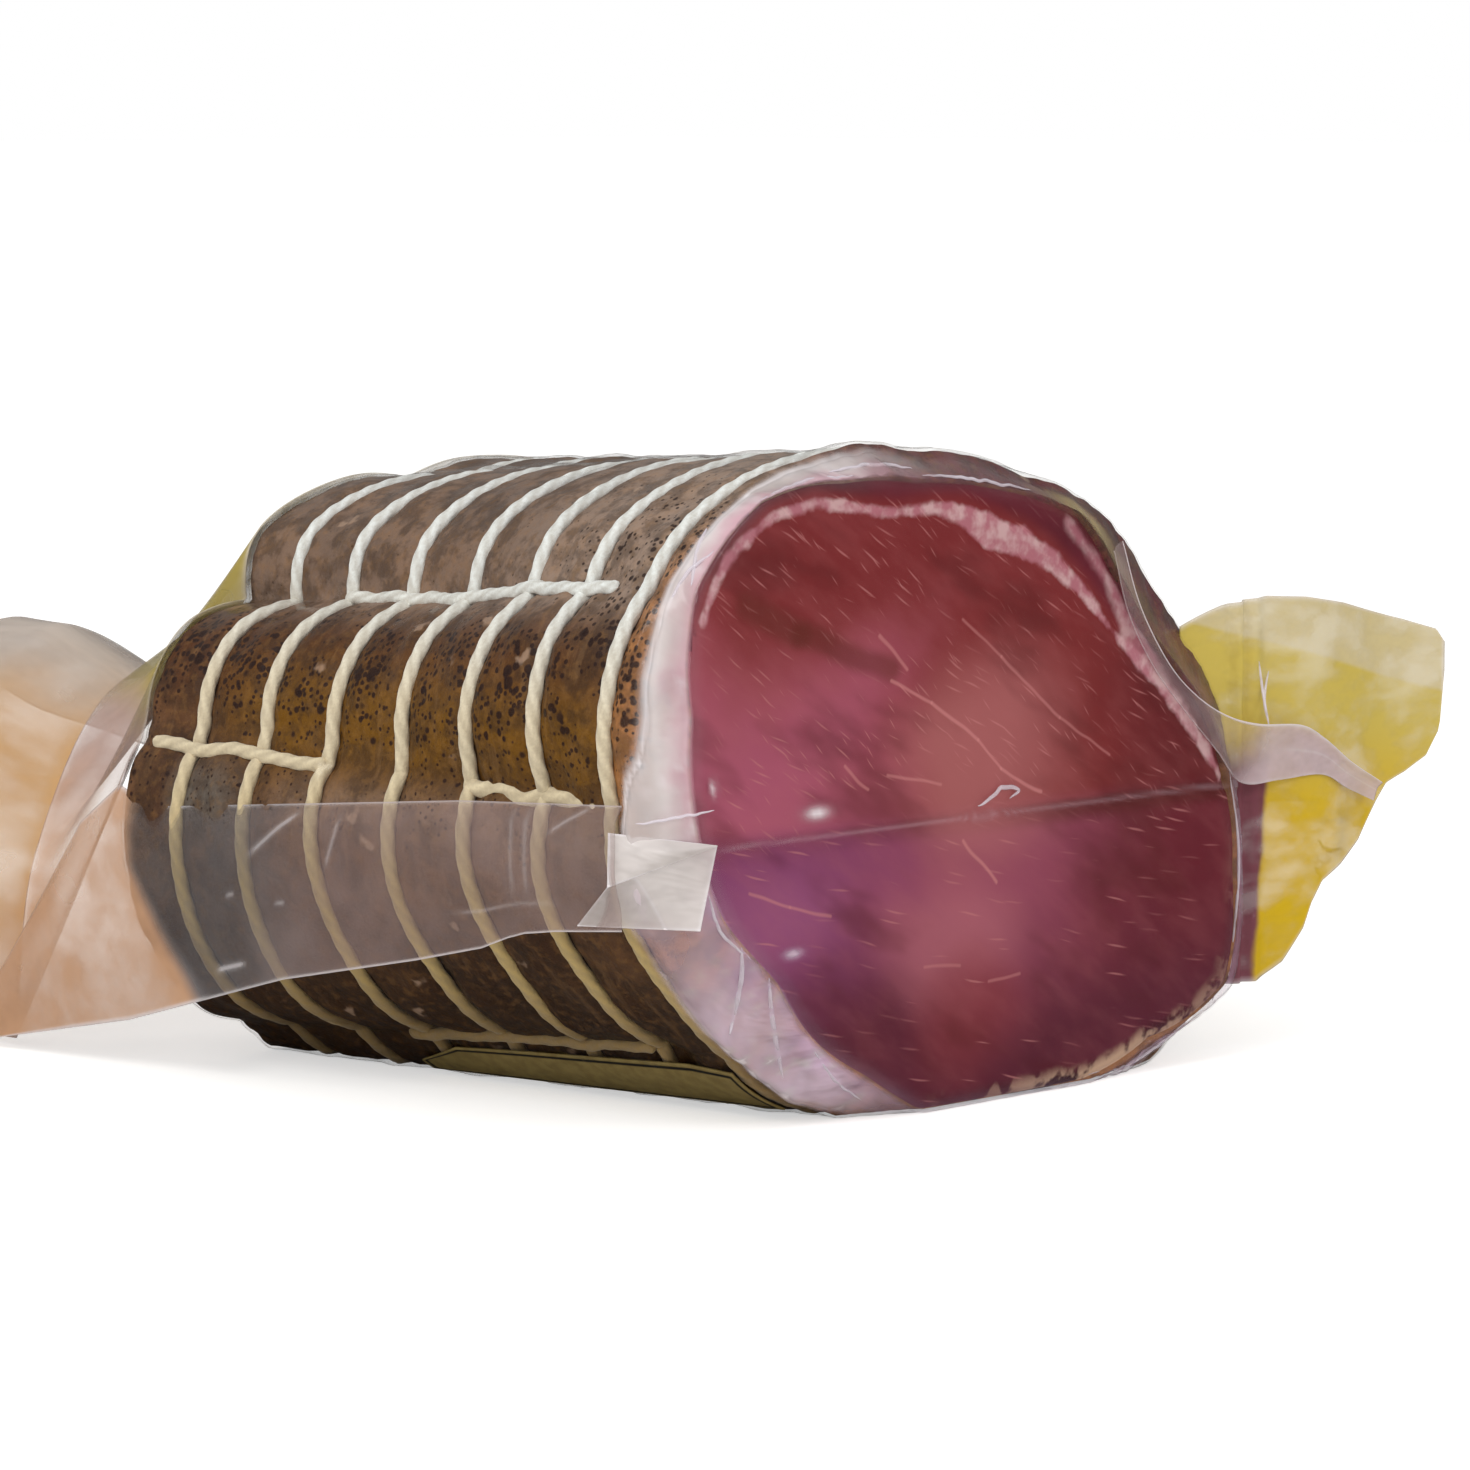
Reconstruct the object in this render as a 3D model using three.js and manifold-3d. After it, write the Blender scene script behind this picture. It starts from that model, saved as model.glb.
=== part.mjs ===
// Vacuum-packed half of a netted, cured pork loin lying on its side, in millimetres, Z up.
// The loin runs along Y and its flat cut looks to -Y; Z is 0 on the flat that it rests on.
// The clear bag with its contents is one closed solid, the label under it is another.
import * as THREE from 'three';
import Module from 'manifold-3d';

// Loin: where it starts and ends, and how wide and high it is.
const CUT_Y = -67;
const FAR_RIM_Y = 54;
const HALF_WIDTH = 70;
const WIDER_AT_FAR_RIM = 1.5;
const HEIGHT_AT_CUT = 102;
const HEIGHT_AT_FAR_RIM = 95;
const RESTING_FLAT_DEPTH = 3.6;
const SECTION_ROUNDNESS = 2.4;
const LEAN_AT_CUT = 0.085;
const LEAN_AT_FAR_RIM = -0.015;
const FLAT_SHOULDER = { angle: 27, depth: 6, spread: 18 };

// Flats that the net presses into the near side. One lies along the middle lobe, deepens away from
// the cut and ends at the second strand. The other lies below the side and fades out half way.
const SIDE_FLAT = { angle: 157, depth: 5, spread: 22, ends: [171, 178], growth: [0.2, 0.62] };
const LOW_FLAT = { angle: 206, depth: 3, spread: 14, fade: [0.45, 0.85] };

// Far end of the loin: it stands out past its rim like the end of a loaf. The rings that shape it
// lie at these shares of the way from its middle to the rim.
const END_BULGE = 17;
const END_ROUNDNESS = 1.6;
const END_SHARES = [0.94, 0.86, 0.74, 0.58, 0.4, 0.2];

// Net: elastic hoops round the loin and strands along it, with the crust swelling between.
const HOOP_Y = [-56, -40, -24, -7, 10, 26.5, 42];
const CORD_WIDTH = 2.6;
const CORD_RISE = 1.1;
const HOOP_GROOVE = 2.2;
const HOOP_GROOVE_WIDTH = 3.6;
const STRANDS = [
  { angle: 148, groove: 2.5, grooveFar: 8.5, from: -48, to: 27 },
  { angle: 175, groove: 3.5, grooveFar: 4, from: 10, to: 52 },
  { angle: 220, groove: 3, grooveFar: 3, from: -40, to: 14 },
  { angle: 100, groove: 2.5, grooveFar: 2.5, from: 0, to: 0 },
  { angle: 55, groove: 3, grooveFar: 3, from: 0, to: 0 },
  { angle: 10, groove: 3, grooveFar: 3, from: 0, to: 0 },
  { angle: 325, groove: 3, grooveFar: 3, from: 0, to: 0 },
];
const STRAND_GROOVE_WIDTH = 7.5;
const LOBE_SWELL = 1.4;
const DRIFT = { angle: 165, turn: 2.4, spread: 30 };

// Cut rim: the film slants in from the crust to the edge of the cut, by so much every 15 degrees.
const RIM_DEPTH = 6;
const RIM_INSET = [
  9, 11, 11, 9.5, 5.5, 5, 5.3, 6.3, 5.2, 1.2, 2.2, 9,
  9.5, 9.6, 10.5, 8.4, 6.5, 3.3, 3.2, 5.4, 7.5, 8, 1.2, 7,
];
const GROOVES_FADE_IN = 18;
const CREASE_Z = 46;
const CREASE_HEIGHT = 1.0;
const CREASE_WIDTH = 3;

// Bag: its two films lie together past the loin, as a tent from the upper far rim down to the flat
// mouth flap, which arches over the surface.
const FILM = 1.2;
const TENT_LAP = { inFromRim: 2, under: 1.2 };
const TENT_RISE = 0.4;
const TENT_END_Y = 88;
const FLAP_END_Y = 150;
const TENT_ROWS = 3;
const FLAP_ROWS = 6;
const FLAP_NEAR_X = -68;
const FLAP_CREST_X = -43;
const FLAP_FAR_X = 98;
const FLAP_FAR_Z = 20;
const CREST_HEIGHTS = [[88, 60], [98, 64], [108, 68], [122, 68.5], [136, 66], [150, 62]];
const FLAP_RISE = { inFromEdge: 5, shareOfCrest: 0.55 };
const FLAP_FALLS = [{ beyondCrest: 33, below: 14 }, { beyondCrest: 75, below: 28 }];

// Fins: double film beside the seams. Tables give a height at each Y or X.
const NEAR_FIN_FROM_Y = -60;
const NEAR_FIN_TO_Y = 94;
const NEAR_FIN_TOP = [[-60, 53], [-25, 51], [54, 45], [88, 9], [94, 6]];
const NEAR_FIN_LOW = [[-60, 34], [-36, 31], [-15, 25.2], [16, 19], [54, 8.4], [94, 0.6]];
const NEAR_FIN_PROUD = 3;
const FAR_FIN_X = 98;
const FAR_FIN_FROM_Y = -60;
const FAR_FIN_TO_Y = 84;
const FAR_FIN_ROOT_Z = [46, 40];
const FAR_FIN_EDGE_Z = [40, 26];
const CORNER_FIN_FROM_X = 56;
const CORNER_FIN_TIP_X = 123;
const CORNER_FIN_Y = -63;
const CORNER_FIN_WAVE = { height: 1.5, length: 8 };
const CORNER_FIN_TOP = [[56, 74], [75, 76.5], [95, 73.5], [119, 68.5], [123, 65]];
const CORNER_FIN_LOW = [[56, 12], [70, 12], [81, 20], [87, 28], [98, 33], [107, 42], [116, 46], [123, 60]];
const SEAM_STRIP = { fromX: 58, toX: 112, widths: [10, 4], drop: 2, recess: 5 };
const DOG_EAR = { fromX: -61, toX: -74, length: 17.5, topZ: [51, 49], lowZ: [38, 33] };

// Label under the near side: stretch along Y, and the angles of its upper and lower edges.
const LABEL_FROM_Y = -56;
const LABEL_TO_Y = 16;
const LABEL_UPPER_ANGLE = 222.5;
const LABEL_LOWER_ANGLE = 236;
const LABEL_LOWER_ANGLE_FAR = 229.5;
const LABEL_CLEARANCE = 0.5;
const LABEL_THICKNESS = 0.4;

const BAG_COLOUR = 0x7c4438;
const LABEL_COLOUR = 0xd8cf9e;
const RING_STEPS = 56;
const STRAND_HALF_ANGLE = 1.3;
const SMALLEST_DETAIL = 0.02;

const lerp = (a, b, t) => a + (b - a) * t;
const clamp = (v, low, high) => Math.min(high, Math.max(low, v));
const rad = (degrees) => degrees * Math.PI / 180;
const bell = (d, width) => Math.exp(-((d / width) ** 2));

// 0 below low, 1 above high, with a soft S between.
function ramp(value, low, high) {
  const share = clamp((value - low) / (high - low), 0, 1);
  return share * share * (3 - 2 * share);
}

// Share of the way from the cut to the far rim.
const along = (y) => clamp((y - CUT_Y) / (FAR_RIM_Y - CUT_Y), 0, 1);

function angleGap(a, b) {
  let gap = (a - b) % 360;
  if (gap > 180) gap -= 360;
  if (gap < -180) gap += 360;
  return gap;
}

// The strands on the near side creep up a few degrees over the loin's length.
function driftedAngle(angle, y) {
  return angle + lerp(DRIFT.turn, -DRIFT.turn, along(y)) * bell(angleGap(angle, DRIFT.angle), DRIFT.spread);
}

const loinHeight = (y) => lerp(HEIGHT_AT_CUT, HEIGHT_AT_FAR_RIM, along(y));
const middleHeight = (y) => (loinHeight(y) - RESTING_FLAT_DEPTH) / 2;

// Radius of the lobes: a leaning superellipse, swollen, less the flats and a groove along each strand.
function lobedRadius(angle, turned, y) {
  const halfHeight = (loinHeight(y) + RESTING_FLAT_DEPTH) / 2;
  const c = Math.abs(Math.cos(rad(turned))) / (HALF_WIDTH + WIDER_AT_FAR_RIM * along(y));
  const s = Math.abs(Math.sin(rad(turned))) / halfHeight;
  const oval = (c ** SECTION_ROUNDNESS + s ** SECTION_ROUNDNESS) ** (-1 / SECTION_ROUNDNESS);
  let radius = oval * (1 - lerp(LEAN_AT_CUT, LEAN_AT_FAR_RIM, along(y)) * Math.sin(2 * rad(turned)));
  const fromShoulder = angleGap(turned, FLAT_SHOULDER.angle);
  radius += LOBE_SWELL - FLAT_SHOULDER.depth * bell(fromShoulder, FLAT_SHOULDER.spread);
  const aboveStrand = 1 - ramp(angle, ...SIDE_FLAT.ends);
  const sideDepth = SIDE_FLAT.depth * ramp(along(y), ...SIDE_FLAT.growth) * aboveStrand;
  radius -= sideDepth * bell(angleGap(angle, SIDE_FLAT.angle), SIDE_FLAT.spread);
  const lowDepth = LOW_FLAT.depth * (1 - ramp(along(y), ...LOW_FLAT.fade));
  radius -= lowDepth * bell(angleGap(angle, LOW_FLAT.angle), LOW_FLAT.spread);
  const shown = clamp((y - CUT_Y - 3) / GROOVES_FADE_IN, 0, 1);
  for (const strand of STRANDS) {
    const arc = rad(angleGap(angle, strand.angle)) * radius;
    radius -= shown * lerp(strand.groove, strand.grooveFar, along(y)) * bell(arc, STRAND_GROOVE_WIDTH);
  }
  return radius;
}

// Radius of the crust: the lobes drawn in under each hoop.
function crustRadius(angle, turned, y) {
  let radius = lobedRadius(angle, turned, y);
  for (const hoop of HOOP_Y) radius -= HOOP_GROOVE * bell(y - hoop, HOOP_GROOVE_WIDTH);
  return radius;
}

// Rise of the cord over the crust, for hoops and for the stretches of strand that show.
function cordRise(angle, y) {
  const onHoop = HOOP_Y.some((hoop) => Math.abs(y - hoop) < CORD_WIDTH / 2);
  const shown = STRANDS.filter((strand) => y > strand.from && y < strand.to);
  const onStrand = shown.some((strand) => Math.abs(angleGap(angle, strand.angle)) < STRAND_HALF_ANGLE / 2);
  return onHoop || onStrand ? CORD_RISE : 0;
}

function rimInset(turned) {
  const place = (turned + 360) % 360 / 15;
  const step = Math.floor(place);
  return lerp(RIM_INSET[step], RIM_INSET[(step + 1) % RIM_INSET.length], place - step);
}

// Point of the loin under its film at an angle from +X, round the middle of its height.
function loinPoint(angle, y) {
  const turned = driftedAngle(angle, y);
  const nearCut = clamp((CUT_Y + RIM_DEPTH - y) / RIM_DEPTH, 0, 1);
  const cosine = Math.cos(rad(turned));
  const sine = Math.sin(rad(turned));
  const radius = crustRadius(angle, turned, y) + cordRise(angle, y) - nearCut * rimInset(turned);
  return [radius * cosine, y, Math.max(0, middleHeight(y) + radius * sine)];
}

// Arch of the flat mouth flap at a share of the way from its near edge to its far edge.
function flapPoint(share, y) {
  const crest = alongTable(CREST_HEIGHTS, y);
  const points = [
    [FLAP_NEAR_X, FILM],
    [FLAP_NEAR_X + FLAP_RISE.inFromEdge, crest * FLAP_RISE.shareOfCrest],
    [FLAP_CREST_X, crest],
    ...FLAP_FALLS.map((fall) => [FLAP_CREST_X + fall.beyondCrest, crest - fall.below]),
    [FLAP_FAR_X, FLAP_FAR_Z],
  ];
  const arch = new THREE.CatmullRomCurve3(points.map(([x, z]) => new THREE.Vector3(x, y, z)));
  return arch.getPoint(clamp(share, 0, 1)).toArray();
}

// Angles of one ring: even steps, and a narrow triple on each strand that shows and its mirror.
function ringAngles() {
  const angles = [];
  for (let i = 0; i < RING_STEPS; i++) angles.push(i * 360 / RING_STEPS);
  for (const strand of STRANDS) {
    if (strand.to <= strand.from) continue;
    for (const side of [strand.angle, 360 - strand.angle]) {
      angles.push(side - STRAND_HALF_ANGLE, side, side + STRAND_HALF_ANGLE);
    }
  }
  angles.sort((a, b) => a - b);
  return angles.filter((a, i) => i === 0 || a - angles[i - 1] > 0.4);
}

// Stations along Y: the rim, both sides and the top of each hoop, the lobes between, the far rim.
function ringStations() {
  const half = CORD_WIDTH / 2;
  const stations = [CUT_Y, CUT_Y + RIM_DEPTH];
  for (const hoop of HOOP_Y) {
    stations.push(hoop - half - 0.1, hoop - half * 0.5, hoop + half * 0.5, hoop + half + 0.1);
  }
  for (let i = 1; i < HOOP_Y.length; i++) stations.push((HOOP_Y[i - 1] + HOOP_Y[i]) / 2);
  stations.push(FAR_RIM_Y - 6, FAR_RIM_Y);
  return stations.sort((a, b) => a - b);
}

// How far the rounded far end stands out past its rim, at a share of the way out to the rim.
const endBulge = (share) => END_BULGE * (1 - share ** 2) ** END_ROUNDNESS;

// Loin in its net and film: one skin through all rings, from the middle of the cut to the far end's.
function loinBody() {
  const angles = ringAngles();
  const count = angles.length;
  const rings = ringStations().map((y) => angles.map((angle) => loinPoint(angle, y)));
  const cut = rings[0];
  const farRim = rings[rings.length - 1];
  const cutMiddle = [0, CUT_Y, HEIGHT_AT_CUT / 2];
  const farMiddle = [0, FAR_RIM_Y, middleHeight(FAR_RIM_Y)];
  rings.unshift(cut.map((p) => p.map((v, k) => lerp(v, cutMiddle[k], 0.5))));
  for (const share of END_SHARES) {
    const y = FAR_RIM_Y + endBulge(share);
    rings.push(farRim.map(([x, , z]) => [lerp(farMiddle[0], x, share), y, lerp(farMiddle[2], z, share)]));
  }
  const points = [...rings.flat(), cutMiddle, [0, FAR_RIM_Y + END_BULGE, farMiddle[2]]];
  const faces = [];
  for (let r = 0; r + 1 < rings.length; r++) {
    for (let i = 0; i < count; i++) {
      const a = r * count + i;
      const b = r * count + (i + 1) % count;
      faces.push([a, b + count, b], [a, a + count, b + count]);
    }
  }
  const last = (rings.length - 1) * count;
  for (let i = 0; i < count; i++) {
    const next = (i + 1) % count;
    faces.push([points.length - 2, i, next], [points.length - 1, last + next, last + i]);
  }
  return [points, faces];
}

// Thin closed sheet about a surface given by a function of two shares, each from 0 to 1.
function sheet(surface, acrossSteps, downSteps, thickness) {
  const points = [];
  const faces = [];
  const row = downSteps + 1;
  const at = (u, v) => new THREE.Vector3(...surface(u, v));
  const step = 1e-3;
  for (const side of [1, -1]) {
    for (let i = 0; i <= acrossSteps; i++) {
      for (let j = 0; j <= downSteps; j++) {
        const u = i / acrossSteps;
        const v = j / downSteps;
        const alongU = at(u + step, v).sub(at(u - step, v));
        const alongV = at(u, v + step).sub(at(u, v - step));
        const normal = alongU.cross(alongV).normalize();
        const p = at(u, v).addScaledVector(normal, side * thickness / 2);
        points.push([p.x, p.y, Math.max(0, p.z)]);
      }
    }
  }
  const back = (acrossSteps + 1) * row;
  const quad = (a, b, c, d) => faces.push([a, b, c], [a, c, d]);
  for (let i = 0; i < acrossSteps; i++) {
    for (let j = 0; j < downSteps; j++) {
      const a = i * row + j;
      quad(a, a + row, a + row + 1, a + 1);
      quad(back + a, back + a + 1, back + a + row + 1, back + a + row);
    }
    const top = i * row;
    const bottom = i * row + downSteps;
    quad(top, back + top, back + top + row, top + row);
    quad(bottom, bottom + row, back + bottom + row, back + bottom);
  }
  for (let j = 0; j < downSteps; j++) {
    const far = acrossSteps * row + j;
    quad(j, j + 1, back + j + 1, back + j);
    quad(far, back + far, back + far + 1, far + 1);
  }
  return [points, faces];
}

function alongTable(table, at) {
  const next = clamp(table.findIndex((pair) => pair[0] >= at), 1, table.length - 1);
  const [a0, v0] = table[next - 1];
  const [a1, v1] = table[at > table[table.length - 1][0] ? table.length - 1 : next];
  return lerp(v0, v1, clamp((at - a0) / (a1 - a0), 0, 1));
}

// Tent and mouth flap: from just under the crust inside the upper far rim, out over the rim, straight
// down to the first arch of the flap, and on along the flap to the mouth.
function tentAndFlap(u, v) {
  const angle = 180 * (1 - u);
  const rows = v * (1 + TENT_ROWS + FLAP_ROWS);
  const [x, , z] = loinPoint(angle, FAR_RIM_Y);
  const out = (move) => [x + move * Math.cos(rad(angle)), z + move * Math.sin(rad(angle))];
  const [rimX, rimZ] = out(TENT_RISE);
  const rim = [rimX, FAR_RIM_Y + FILM / 2, rimZ];
  if (rows <= 1) {
    const [lapX, lapZ] = out(-TENT_LAP.under);
    return [lapX, FAR_RIM_Y - TENT_LAP.inFromRim, lapZ].map((value, k) => lerp(value, rim[k], rows));
  }
  if (rows <= 1 + TENT_ROWS) {
    const first = flapPoint(u, TENT_END_Y);
    return rim.map((value, k) => lerp(value, first[k], (rows - 1) / TENT_ROWS));
  }
  return flapPoint(u, lerp(TENT_END_Y, FLAP_END_Y, (rows - 1 - TENT_ROWS) / FLAP_ROWS));
}

// Near fin: double film that hangs from the side seam over the lower lobe, down to the surface.
function nearFin(u, v) {
  const y = lerp(NEAR_FIN_FROM_Y, NEAR_FIN_TO_Y, u);
  const top = alongTable(NEAR_FIN_TOP, y);
  const low = alongTable(NEAR_FIN_LOW, y);
  const hung = Math.min(1, 8 * v);
  return [-HALF_WIDTH + 1 - (NEAR_FIN_PROUD + 1) * hung + 2 * v, y, lerp(top, low, v)];
}

// Far fin: the same double film on the other side, lying out level and drooping to the mouth.
function farFin(u, v) {
  const y = lerp(FAR_FIN_FROM_Y, FAR_FIN_TO_Y, u);
  const z = lerp(lerp(...FAR_FIN_ROOT_Z, u), lerp(...FAR_FIN_EDGE_Z, u), v);
  return [lerp(HALF_WIDTH - 6, FAR_FIN_X, v), y, z];
}

// Corner fin: the bag's corner standing out beside the cut, with a slightly waved film.
function cornerFin(u, v) {
  const x = lerp(CORNER_FIN_FROM_X, CORNER_FIN_TIP_X, u);
  const top = alongTable(CORNER_FIN_TOP, x);
  const low = alongTable(CORNER_FIN_LOW, x);
  return [x, CORNER_FIN_Y + CORNER_FIN_WAVE.height * Math.sin(x / CORNER_FIN_WAVE.length), lerp(top, low, v)];
}

// Seam strip: the bottom seam running on from the crease to the corner fin's lower tip.
function seamStrip(u, v) {
  const x = lerp(SEAM_STRIP.fromX, SEAM_STRIP.toX, u);
  const width = lerp(...SEAM_STRIP.widths, u);
  const y = CUT_Y - 0.5 + SEAM_STRIP.recess * bell(1 - u, 0.5);
  return [x, y, CREASE_Z - 0.5 - SEAM_STRIP.drop * u + width * v];
}

// Dog-ear: the seam's near corner, folded back flat along the side.
function dogEar(u, v) {
  const x = lerp(DOG_EAR.fromX, DOG_EAR.toX, u * (2 - u));
  const y = CUT_Y - 0.5 + DOG_EAR.length * u;
  return [x, y, lerp(lerp(...DOG_EAR.topZ, u), lerp(...DOG_EAR.lowZ, u), v)];
}

// Crease: the bottom seam's ridge, straight and level across the whole cut.
function creaseBar() {
  const half = CREASE_WIDTH / 2;
  const x0 = -HALF_WIDTH + 12;
  const x1 = HALF_WIDTH - 8;
  const y = CUT_Y - CREASE_HEIGHT;
  const corners = [[CUT_Y + 1, -half], [y, -half * 0.3], [y, half * 0.3], [CUT_Y + 1, half]];
  const points = [x0, x1].flatMap((x) => corners.map(([depth, rise]) => [x, depth, CREASE_Z + rise]));
  const faces = [[0, 2, 1], [0, 3, 2], [4, 5, 6], [4, 6, 7]];
  for (let i = 0; i < 4; i++) {
    const j = (i + 1) % 4;
    faces.push([i, j, j + 4], [i, j + 4, i + 4]);
  }
  return [points, faces];
}

// Label: a thin patch a little off the crust under the near side, clear of the surface below.
function labelPatch(u, v) {
  const y = lerp(LABEL_FROM_Y, LABEL_TO_Y, u);
  const lower = lerp(LABEL_LOWER_ANGLE, LABEL_LOWER_ANGLE_FAR, u);
  const angle = lerp(LABEL_UPPER_ANGLE + 4 * Math.max(0, u - 0.85) / 0.15, lower, v);
  const radius = lobedRadius(angle, driftedAngle(angle, y), y) + LABEL_CLEARANCE + LABEL_THICKNESS / 2;
  const turned = rad(driftedAngle(angle, y));
  return [radius * Math.cos(turned), y, middleHeight(y) + radius * Math.sin(turned)];
}

const wasm = await Module();
wasm.setup();

function toSolid([points, faces]) {
  const mesh = new wasm.Mesh({
    numProp: 3,
    vertProperties: new Float32Array(points.flat()),
    triVerts: new Uint32Array(faces.flat()),
  });
  const solid = new wasm.Manifold(mesh);
  return solid.volume() < 0 ? toSolid([points, faces.map(([a, b, c]) => [a, c, b])]) : solid;
}

function toMesh(name, solid, colour) {
  const { numProp, vertProperties, triVerts } = solid.getMesh();
  const positions = [];
  for (let i = 0; i < vertProperties.length; i += numProp) positions.push(...vertProperties.slice(i, i + 3));
  const geometry = new THREE.BufferGeometry();
  geometry.setAttribute('position', new THREE.Float32BufferAttribute(positions, 3));
  geometry.setIndex([...triVerts]);
  const mesh = new THREE.Mesh(geometry, new THREE.MeshStandardMaterial({ color: colour, roughness: 0.35 }));
  mesh.name = name;
  return mesh;
}

let pack = toSolid(loinBody());
const films = [
  sheet(tentAndFlap, 28, 1 + TENT_ROWS + FLAP_ROWS, FILM),
  sheet(nearFin, 18, 4, FILM),
  sheet(farFin, 10, 3, FILM),
  sheet(cornerFin, 12, 4, FILM),
  sheet(seamStrip, 6, 2, FILM),
  sheet(dogEar, 4, 2, FILM),
  creaseBar(),
];
for (const film of films) pack = pack.add(toSolid(film));
pack = pack.simplify(SMALLEST_DETAIL);
const label = toSolid(sheet(labelPatch, 12, 4, LABEL_THICKNESS));

const part = new THREE.Group();
part.name = 'vacuum_packed_loin';
part.add(toMesh('sealed_bag', pack, BAG_COLOUR));
part.add(toMesh('label', label, LABEL_COLOUR));

export default part;
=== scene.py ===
"""Vacuum-packed half of a netted, cured pork loin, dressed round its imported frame.

The loin lies along Y with its flat cut looking to -Y, and rests on Z = 0. Shapes are worked out in
millimetres and go into the meshes in metres.
"""

import math

import bpy
import numpy as np
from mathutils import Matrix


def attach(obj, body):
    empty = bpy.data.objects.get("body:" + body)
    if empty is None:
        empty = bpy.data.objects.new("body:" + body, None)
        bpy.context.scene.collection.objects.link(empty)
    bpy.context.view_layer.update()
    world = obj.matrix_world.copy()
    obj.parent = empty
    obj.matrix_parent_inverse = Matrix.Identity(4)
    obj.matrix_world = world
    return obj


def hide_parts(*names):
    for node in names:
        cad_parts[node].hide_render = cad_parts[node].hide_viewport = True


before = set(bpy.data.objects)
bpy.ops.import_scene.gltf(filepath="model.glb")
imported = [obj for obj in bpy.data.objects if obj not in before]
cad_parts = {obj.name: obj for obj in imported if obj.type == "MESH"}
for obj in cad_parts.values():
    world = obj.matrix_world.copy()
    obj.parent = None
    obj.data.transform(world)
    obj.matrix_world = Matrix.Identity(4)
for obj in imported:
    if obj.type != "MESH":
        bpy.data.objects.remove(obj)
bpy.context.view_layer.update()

# Camera: a long lens a little above the loin, looking at its cut and its near side. Its place is in
# metres, and its tilt and its turn about Z are in degrees.
CAMERA_LENS = 146.94
CAMERA_PLACE = (-0.7018, -0.6921, 0.1591)
CAMERA_TILT = 83.9
CAMERA_TURN = -46
camera_data = bpy.data.cameras.new("camera")
camera_data.lens = CAMERA_LENS
camera = bpy.data.objects.new("camera", camera_data)
camera.location = CAMERA_PLACE
camera.rotation_euler = (math.radians(CAMERA_TILT), 0, math.radians(CAMERA_TURN))
bpy.context.scene.collection.objects.link(camera)
bpy.context.scene.camera = camera
bpy.context.scene.view_settings.view_transform = "Standard"

# Cured loin: a rolled piece of pork, pressed into lobes by its net. Its side is a rough brown crust
# of spice and dried meat, and its near end is cut flat through the lean and a seam of fat.
MILLIMETRE = 0.001
CUT_Y = -67.0
FAR_RIM_Y = 54.0
END_BULGE = 17.0
CREASE_Z = 46.0
HOOP_Y = (-56.0, -40.0, -24.0, -7.0, 10.0, 26.5, 42.0)
RESTING_FLAT = 3.6
# Angle of each strand's groove, its depth at the cut and at the far rim, and the stretch that shows.
STRANDS = (
    (148, 2.5, 8.5, -48, 27),
    (175, 3.5, 4.0, 10, 52),
    (220, 3.0, 3.0, -40, 14),
    (100, 2.5, 2.5, 0, 0),
    (55, 3.0, 3.0, 0, 0),
    (10, 3.0, 3.0, 0, 0),
    (325, 3.0, 3.0, 0, 0),
)
# Flats over the far shoulder and, pressed in by the net, on the near side: angle, depth and spread.
SHOULDER_FLAT = (27, 6.0, 18)
SIDE_FLAT = (157, 5.0, 22)
LOW_FLAT = (206, 3.0, 14)
# How far the rim of the cut lies inside the crust, every 15 degrees.
RIM_INSET = (
    9, 11, 11, 9.5, 5.5, 5, 5.3, 6.3, 5.2, 1.2, 2.2, 9,
    9.5, 9.6, 10.5, 8.4, 6.5, 3.3, 3.2, 5.4, 7.5, 8, 1.2, 7, 9,
)
# The seam of fat on the cut, and the streak outside it: X and Z of the middle, and the half width.
FAT_SEAM = np.array([
    (-61.5, 80.0, 0.4), (-58.5, 86.0, 0.7), (-54.0, 91.0, 0.6), (-46.0, 95.4, 0.7), (-36.0, 97.2, 0.7),
    (-26.5, 95.8, 0.5), (-18.5, 94.6, 0.6), (-9.5, 95.0, 0.9), (-3.0, 93.8, 1.6), (3.0, 90.8, 2.5),
    (10.0, 89.0, 2.3), (17.0, 85.8, 1.8), (25.0, 80.6, 0.9), (31.0, 75.2, 0.6), (37.0, 70.4, 0.6),
    (44.0, 64.6, 0.8), (51.0, 58.2, 1.2), (57.5, 52.4, 1.2), (62.0, 47.0, 0.5),
])
FAT_STREAK = np.array([
    (22.0, 91.0, 0.6), (26.5, 87.0, 0.9), (31.4, 82.3, 0.9), (34.2, 78.4, 1.4), (37.5, 73.0, 2.2),
    (41.5, 68.5, 2.0), (46.5, 63.2, 1.0), (52.0, 59.0, 0.4),
])
LOIN_COLUMNS = 400
LOIN_LOWEST = 0.5


def paint(red, green, blue):
    """Colour from the 0 to 255 values seen on a screen, as the linear values that shaders take."""
    seen = np.array((red, green, blue)) / 255
    linear = np.where(seen <= 0.04045, seen / 12.92, ((seen + 0.055) / 1.055) ** 2.4)
    return (*linear, 1.0)


def bell(distance, width):
    """1 at distance 0, falling like a bell, to 1/e at width."""
    return np.exp(-((distance / width) ** 2))


def ramp(value, low, high):
    """0 below low, 1 above high, with a soft S between."""
    share = np.clip((value - low) / (high - low), 0, 1)
    return share * share * (3 - 2 * share)


def angle_gap(a, b):
    """Degrees from b to a, from -180 to 180."""
    return (a - b + 180) % 360 - 180


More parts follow.
